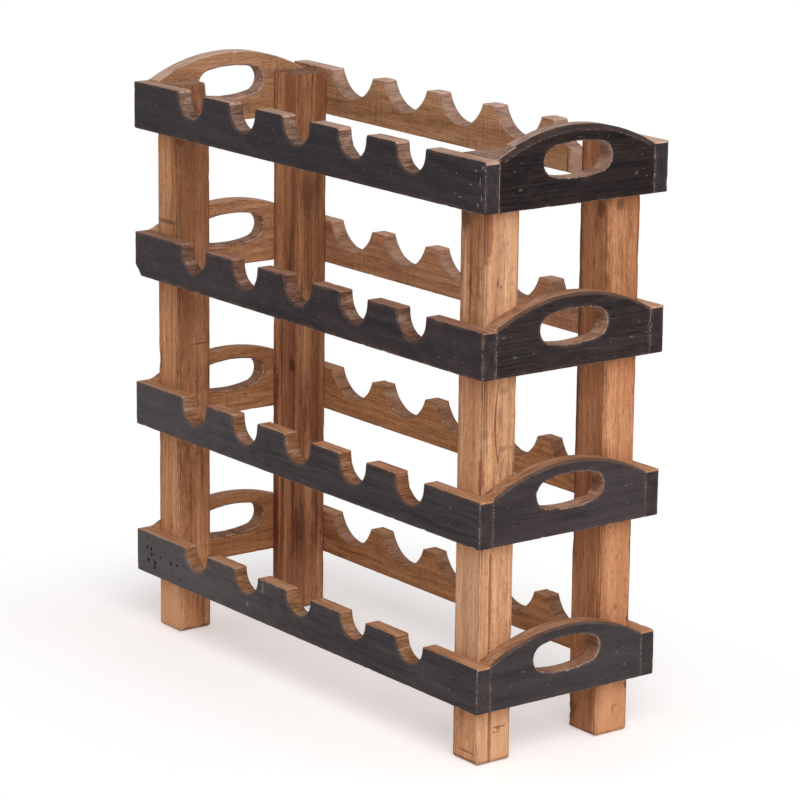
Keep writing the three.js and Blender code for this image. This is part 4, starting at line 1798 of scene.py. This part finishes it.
def front_right_marks() -> Marks:
    """Marks of the front right post: painted shade over its upper front and right face, painted light low on its
    front and at its foot, a crack, a red stripe and a knot.

    Returns:
        The marks.
    """
    x, y = 280.7, -95.0
    return (
        # Painted shade darkens the upper front and the middle of the front and right faces.
        Mark(PAINTED_SHADE, (262, y, 560), (60, 6, 160), 0.85),
        Mark(PAINTED_SHADE, (262, y, 340), (60, 6, 120), 0.25),
        Mark(PAINTED_SHADE, (x, -75, 340), (5, 60, 70), 0.3),
        # Painted light lightens the lower front, with a grey dust tint.
        Mark(PALE_AND_PAINTED_LIGHT, (262, y, 150), (60, 6, 90), 0.1),
        Mark(DUST, (262, y, 150), (60, 6, 90), 0.45),
        Mark(PALE_AND_PAINTED_LIGHT, (x, -75, 500), (5, 50, 80), 0.12),
        Mark(DUST, (x, -75, 500), (5, 50, 80), 0.25),
        # Painted light at the foot of the right face.
        Mark(PALE_AND_PAINTED_LIGHT, (x, -75, 25), (5, 40, 60), 0.4),
        Mark(STRIPE, (x, -93, 530), (4, 8, 40)),
        Mark(SMUDGE_AND_SHADE, (258, y, 480), (3.2, 6, 62)),
        Mark(SMUDGE_AND_SHADE, (270, y, 490), (2.6, 6, 60), 0.6),
        Mark(PALE_AND_PAINTED_LIGHT, (250, y, 470), (3, 6, 60), 0.5),
        Mark(CRACK, (258.6, y, 468), (0.8, 6, 30), 0.7),
        Mark(SMUDGE_AND_SHADE, (246, y, 330), (2.4, 6, 60), 0.5),
        Mark(SMUDGE_AND_SHADE, (266, y, 340), (2, 6, 70), 0.4),
        Mark(SMUDGE_AND_SHADE, (250, y, 536), (14, 6, 14)),
        Mark(CRACK, (x, -79.6, 478), (3, 1.2, 5)),
        Mark(CRACK, (x, -76, 474), (3, 1, 3)),
        Mark(SMUDGE_AND_SHADE, (x, -71, 373), (3, 9, 5), 0.5),
        Mark(SMUDGE_AND_SHADE, (x, -73.5, 347), (3, 4, 14), 0.6),
        Mark(SMUDGE_AND_SHADE, (x, -69, 316), (3, 9, 4), 0.45),
        Mark(STRIPE, (x, -91.4, 332), (3, 4, 6), 0.6),
        Mark(SMUDGE_AND_SHADE, (x, -89.3, 318), (3, 1.8, 12), 0.8),
        Mark(CRACK, (x, -79.6, 343), (3, 1.1, 48), bow=(0, 6, 0)),
        Mark(STRIPE, (x, -82.6, 160), (3, 2.3, 60)),
        Mark(STRIPE, (x, -80.4, 40), (3, 2.3, 80)),
        Mark(STRIPE, (278, y, 290), (4, 5, 22)),
        Mark(KNOT, (x, -69.6, 35), (4, 3.6, 3), 0.7),
        Mark(CRACK, (x, -69, 36), (3, 9, 0.6)),
        Mark(CRACK, (x, -72, 31), (3, 6, 0.5)),
        Mark(SMUDGE_AND_SHADE, (262, y, 11), (16, 3, 1.6)),
    )


def back_right_marks() -> Marks:
    """Marks of the back right post: painted shade over its front face, its foot and the top of its right face,
    painted light at its foot, a dark edge, dark patches under the top board, a knot and cracks.

    Returns:
        The marks.
    """
    x, y = 280.7, 55.0
    return (
        # Painted shade darkens the front face, which faces into the rack, and its foot.
        Mark(PAINTED_SHADE, (260, y, 300), (70, 7, 480), 0.68),
        Mark(PAINTED_SHADE, (252, y, 20), (40, 7, 60), 0.25),
        # Painted light at the foot of the right face.
        Mark(PALE_AND_PAINTED_LIGHT, (x, 75, 25), (5, 40, 60), 0.45),
        Mark(DUST, (252, y, 90), (50, 6, 150), 0.06),
        # Painted shade at the top of the right face.
        Mark(PAINTED_SHADE, (x, 75, 520), (5, 50, 120), 0.35),
        Mark(SMUDGE_AND_SHADE, (240, y, 420), (6, 5, 300)),
        Mark(SMUDGE_AND_SHADE, (268, y, 534), (9, 6, 12)),
        Mark(SMUDGE_AND_SHADE, (262, y, 518), (5, 6, 9), 0.6),
        Mark(SMUDGE_AND_SHADE, (x, 70, 538), (5, 7, 8)),
        Mark(KNOT, (x, 77.5, 132), (4, 3.4, 4.4), 0.6),
        Mark(CRACK, (x, 79.2, 29), (3, 4, 0.7), 0.8),
        Mark(CRACK, (x, 77, 25), (3, 0.8, 6), 0.8),
        Mark(SMUDGE_AND_SHADE, (x, 93, 117), (4, 2.5, 5)),
        Mark(SMUDGE_AND_SHADE, (x, 93, 48), (4, 2.5, 5)),
        Mark(SMUDGE_AND_SHADE, (243, y, 18), (7, 5, 22)),
    )


def front_left_marks() -> Marks:
    """Marks of the front left post: painted shade over its front and its inner face, most at the top of the inner
    face, painted light at its foot, a saw mark, a cut and a chipped arris.

    Returns:
        The marks.
    """
    x, inner, y = -242.2, -242.0, -95.0
    return (
        # Painted shade over the front and the inner face, which faces into the rack.
        Mark(PAINTED_SHADE, (-262, y, 440), (70, 7, 360), 0.3),
        Mark(PAINTED_SHADE, (inner, -75, 440), (7, 70, 330), 0.9),
        Mark(PAINTED_SHADE, (inner, -75, 500), (7, 70, 120), 0.25),
        Mark(DUST, (inner, -75, 420), (6, 60, 200), 0.08),
        # Painted shade at the top of the inner face; the next mark is painted shade low on it.
        Mark(SMUDGE_AND_SHADE, (inner, -70, 585), (7, 40, 30), 0.7),
        Mark(PAINTED_SHADE, (inner, -75, 150), (7, 60, 90), 0.5),
        # Painted light at the foot.
        Mark(PALE_AND_PAINTED_LIGHT, (-264, y, 24), (40, 6, 60), 0.6),
        Mark(PALE_AND_PAINTED_LIGHT, (inner, -84, 20), (6, 14, 40), 0.2),
        Mark(SMUDGE_AND_SHADE, (x, -64, 24), (3, 4, 30), 0.8),
        Mark(SMUDGE_AND_SHADE, (-263, y, 452), (22, 4, 3)),
        Mark(CRACK, (x, -68, 319.5), (3, 13, 0.8)),
        Mark(SMUDGE_AND_SHADE, (x, -66, 190), (3, 3, 40), 0.7),
        Mark(SMUDGE_AND_SHADE, (x, -80, 140), (3, 2, 60), 0.6),
        Mark(STRIPE, (-279, y, 298), (5, 5, 9)),
    )


def back_left_marks() -> Marks:
    """Marks of the back left post: painted shade over its inner face, dark bands of heartwood, paler sapwood
    between them and knots.

    Returns:
        The marks.
    """
    x, y = -238.7, 55.0
    return (
        # Painted shade over the inner face, which faces into the rack.
        Mark(PAINTED_SHADE, (x, 75, 380), (7, 70, 400), 0.62),
        Mark(STRIPE, (-276, y, 150), (7, 5, 150)),
        Mark(PALE_AND_PAINTED_LIGHT, (-268, y, 150), (3, 5, 120), 0.5),
        Mark(SMUDGE_AND_SHADE, (-261, y, 140), (2.6, 5, 120)),
        Mark(PALE_AND_PAINTED_LIGHT, (-253, y, 470), (6, 5, 90), 0.3),
        Mark(PALE_AND_PAINTED_LIGHT, (-250, y, 140), (5, 5, 70), 0.4),
        Mark(SMUDGE_AND_SHADE, (-242, y, 150), (3.4, 6, 90)),
        Mark(CRACK, (-243.5, y, 126), (1, 5, 30), 0.8),
        Mark(CRACK, (x, 57, 100), (4, 2.2, 34), 0.9),
        Mark(SMUDGE_AND_SHADE, (x, 61, 92), (4, 5, 40)),
        Mark(SMUDGE_AND_SHADE, (-276, y, 170), (5, 5, 160), 0.7),
        Mark(CRACK, (-261, y, 150), (1.2, 5, 90), 0.6),
        Mark(STRIPE, (x, 70, 190), (4, 2, 80), 0.7),
        Mark(PALE_AND_PAINTED_LIGHT, (x, 72, 150), (4, 6, 80), 0.45),
        Mark(SMUDGE_AND_SHADE, (x, 84, 130), (4, 3, 90), 0.9),
        Mark(SMUDGE_AND_SHADE, (x, 72, 470), (4, 16, 34)),
        Mark(SMUDGE_AND_SHADE, (x, 86, 500), (4, 5, 60), 0.8),
        Mark(SMUDGE_AND_SHADE, (-245, y, 279), (8, 6, 12)),
        Mark(KNOT, (-245, y, 279), (6.5, 6, 8)),
        Mark(SMUDGE_AND_SHADE, (-264, y, 300), (4, 5, 70), 0.8),
        Mark(PALE_AND_PAINTED_LIGHT, (x, 70, 300), (4, 8, 70), 0.35),
    )


def front_rail_marks(tray: Tray) -> Marks:
    """Dust, worm holes and hammer marks on a front rail.

    Args:
        tray: its tray.

    Returns:
        The marks.
    """
    y, base = -112.0, tray.base
    if tray.number == 1:
        return (
            Mark(DUST, (-300, y, base + 23), (330, 6, 60), 0.6),
            Mark(WORMS, (-270, y, base + 26), (16, 6, 16)),
            Mark(WORMS, (-221, y, base + 19), (15, 6, 13)),
            Mark(WORMS, (-196, y, base + 5.5), (10, 6, 5)),
            Mark(WORMS, (-155, y, base + 30), (5, 6, 6)),
            Mark(SCUFF, (-60, y, base + 38), (1.2, 3, 8)),
            Mark(SCUFF, (-88, y, base + 14), (1.6, 3, 3)),
        )
    dust = Mark(DUST, (-300, y, base + 23), (300, 6, 70), {2: 0.4, 3: 0.2, 4: 0.1}[tray.number])
    strokes = ((292, 30, 0.8, 5), (285, 40, 2.6, 1), (296, 44, 1.4, 2.4), (278, 26, 1.8, 0.8),
               (294.5, 15, 0.9, 4), (262, 12, 2.4, 0.9), (289, 8, 1.2, 2.2)) if tray.number == 4 else ()
    return (dust, *(Mark(SCUFF, (x, y, base + up), (wide, 3, tall), 0.8) for x, up, wide, tall in strokes))


def back_rail_marks(tray: Tray) -> Marks:
    """A pale patch with a dark line beside it, on the top back rail alone.

    Args:
        tray: its tray.

    Returns:
        The marks.
    """
    y, z = 95.2, 560.0
    # Paler colour in a patch and a dark line at its left, laid in colour only.
    patch = (Mark(PALE_SPOT, (195, y, z), (26, 3, 26)), Mark(CRACK, (169.5, y, z), (1.5, 3, 14)))
    return patch if tray.number == 4 else ()


def right_end_marks(tray: Tray) -> Marks:
    """Hammer marks, dust and a pale lip at the hand-hole of a right end board, the lip partly bare wood and partly
    painted light, and painted shadow in the top board's trimmed corner.

    Args:
        tray: its tray.

    Returns:
        The marks.
    """
    x, middle, lip = 300.0, 289.5, tray.base + tray.hole_base
    spots = {1: ((64.5, 91.9), (74.4, 78.1), (-55.3, 94.5)),
             2: ((70.0, 262.0),),
             3: ((71.0, 410.7), (-86.7, 429.8), (-71.7, 408.6)),
             4: ((-70.1, 568.7), (72.8, 571.8))}[tray.number]
    dust = Mark(DUST, (x, 60, lip - 2.5), (5, 70, 45), 0.15)
    # On the top board, the last mark is painted shadow in the trimmed corner of the arch.
    last = {1: dust, 2: dust, 3: Mark(STRIPE, (x, -24.4, 463.6), (3, 5, 2.5)),
            4: Mark(PAINTED_SHADE, (288, -85, 600.5), (10, 18, 4.5))}[tray.number]
    return (
        # The lower lip of the hand-hole: bare worn wood, with painted light where it faces up.
        Mark(PALE_SPOT, (middle, -6, lip), (9.5, 30, 3.6), 0.25 if tray.number == 1 else 0.6),
        Mark(SMUDGE_AND_SHADE, (middle, 41, lip + 17), (9.5, 5, 14), 0.7),
        *(Mark(SCUFF, (x, y, z), (3, 2.6, 1.1), 0.42) for y, z in spots),
        last,
    )


def make_posts() -> list[Post]:
    """Lays out the four posts.

    Returns:
        The posts.
    """
    front, back = SIZES.front_post_width, SIZES.back_post_width
    fx, bx, y = SIZES.post_x(front), SIZES.post_x(back), SIZES.post_y
    return [
        Post("front_left_post", -fx, -y, front, WoodFinish(WARM_POST, Grain.POST, 11, marks=front_left_marks()),
             chips=((1, 600.0, 24.0, 11.0), (3, 298.0, 10.0, 2.5))),
        Post("front_right_post", fx, -y, front, WoodFinish(TAN_POST, Grain.POST, 12, marks=front_right_marks())),
        Post("back_left_post", -bx, y, back, WoodFinish(BROWN_POST, Grain.POST, 13, marks=back_left_marks())),
        Post("back_right_post", bx, y, back, WoodFinish(ORANGE_POST, Grain.POST, 14, marks=back_right_marks()),
             chips=((3, 7.0, 6.0, 3.0), (3, 17.0, 6.0, 3.6), (3, 28.0, 7.0, 2.2))),
    ]


def make_trays() -> list[Tray]:
    """Lays out the four trays from the lowest to the top one.

    Returns:
        The trays.
    """
    return [
        Tray(1, 61.0, 46.3, BOARD, SLATE_RAIL, SLATE_END, srgb(186, 136, 102), srgb(152, 110, 76),
             notch_width=43.5, notch_depth=22.5, front_shift=2.5),
        Tray(2, 225.7, 47.0, BOARD, DUSK_RAIL, DUSK_END, srgb(182, 130, 96), srgb(142, 98, 70)),
        Tray(3, 390.4, 47.0, ROSE_BOARD, PLUM_RAIL, SCRATCHED_END, srgb(146, 104, 84), srgb(118, 86, 72),
             back_shift=-3.0, hole_base=23.3, is_broken=True),
        Tray(4, 549.1, 50.0, PINK_BOARD, NIGHT_RAIL, BLACK_END, srgb(188, 154, 138), srgb(124, 96, 82),
             front_shift=-4.0, back_shift=-4.0, back_slope=0.009, is_trimmed=True, corner_wear=2.6),
    ]


def main() -> None:
    """Builds the rack's pieces in order, then the studio."""
    logging.basicConfig(level=logging.INFO, format="%(name)s: %(message)s")
    studio = Studio()
    studio.set_camera()
    for post in make_posts():
        post.dress(post.build())
    trays = make_trays()
    for tray in trays:
        tray.dress(tray.build())
    nails = Nails(trays)
    nails.dress(nails.build())
    studio.set_floor()
    studio.set_light()


if __name__ == "__main__":
    main()
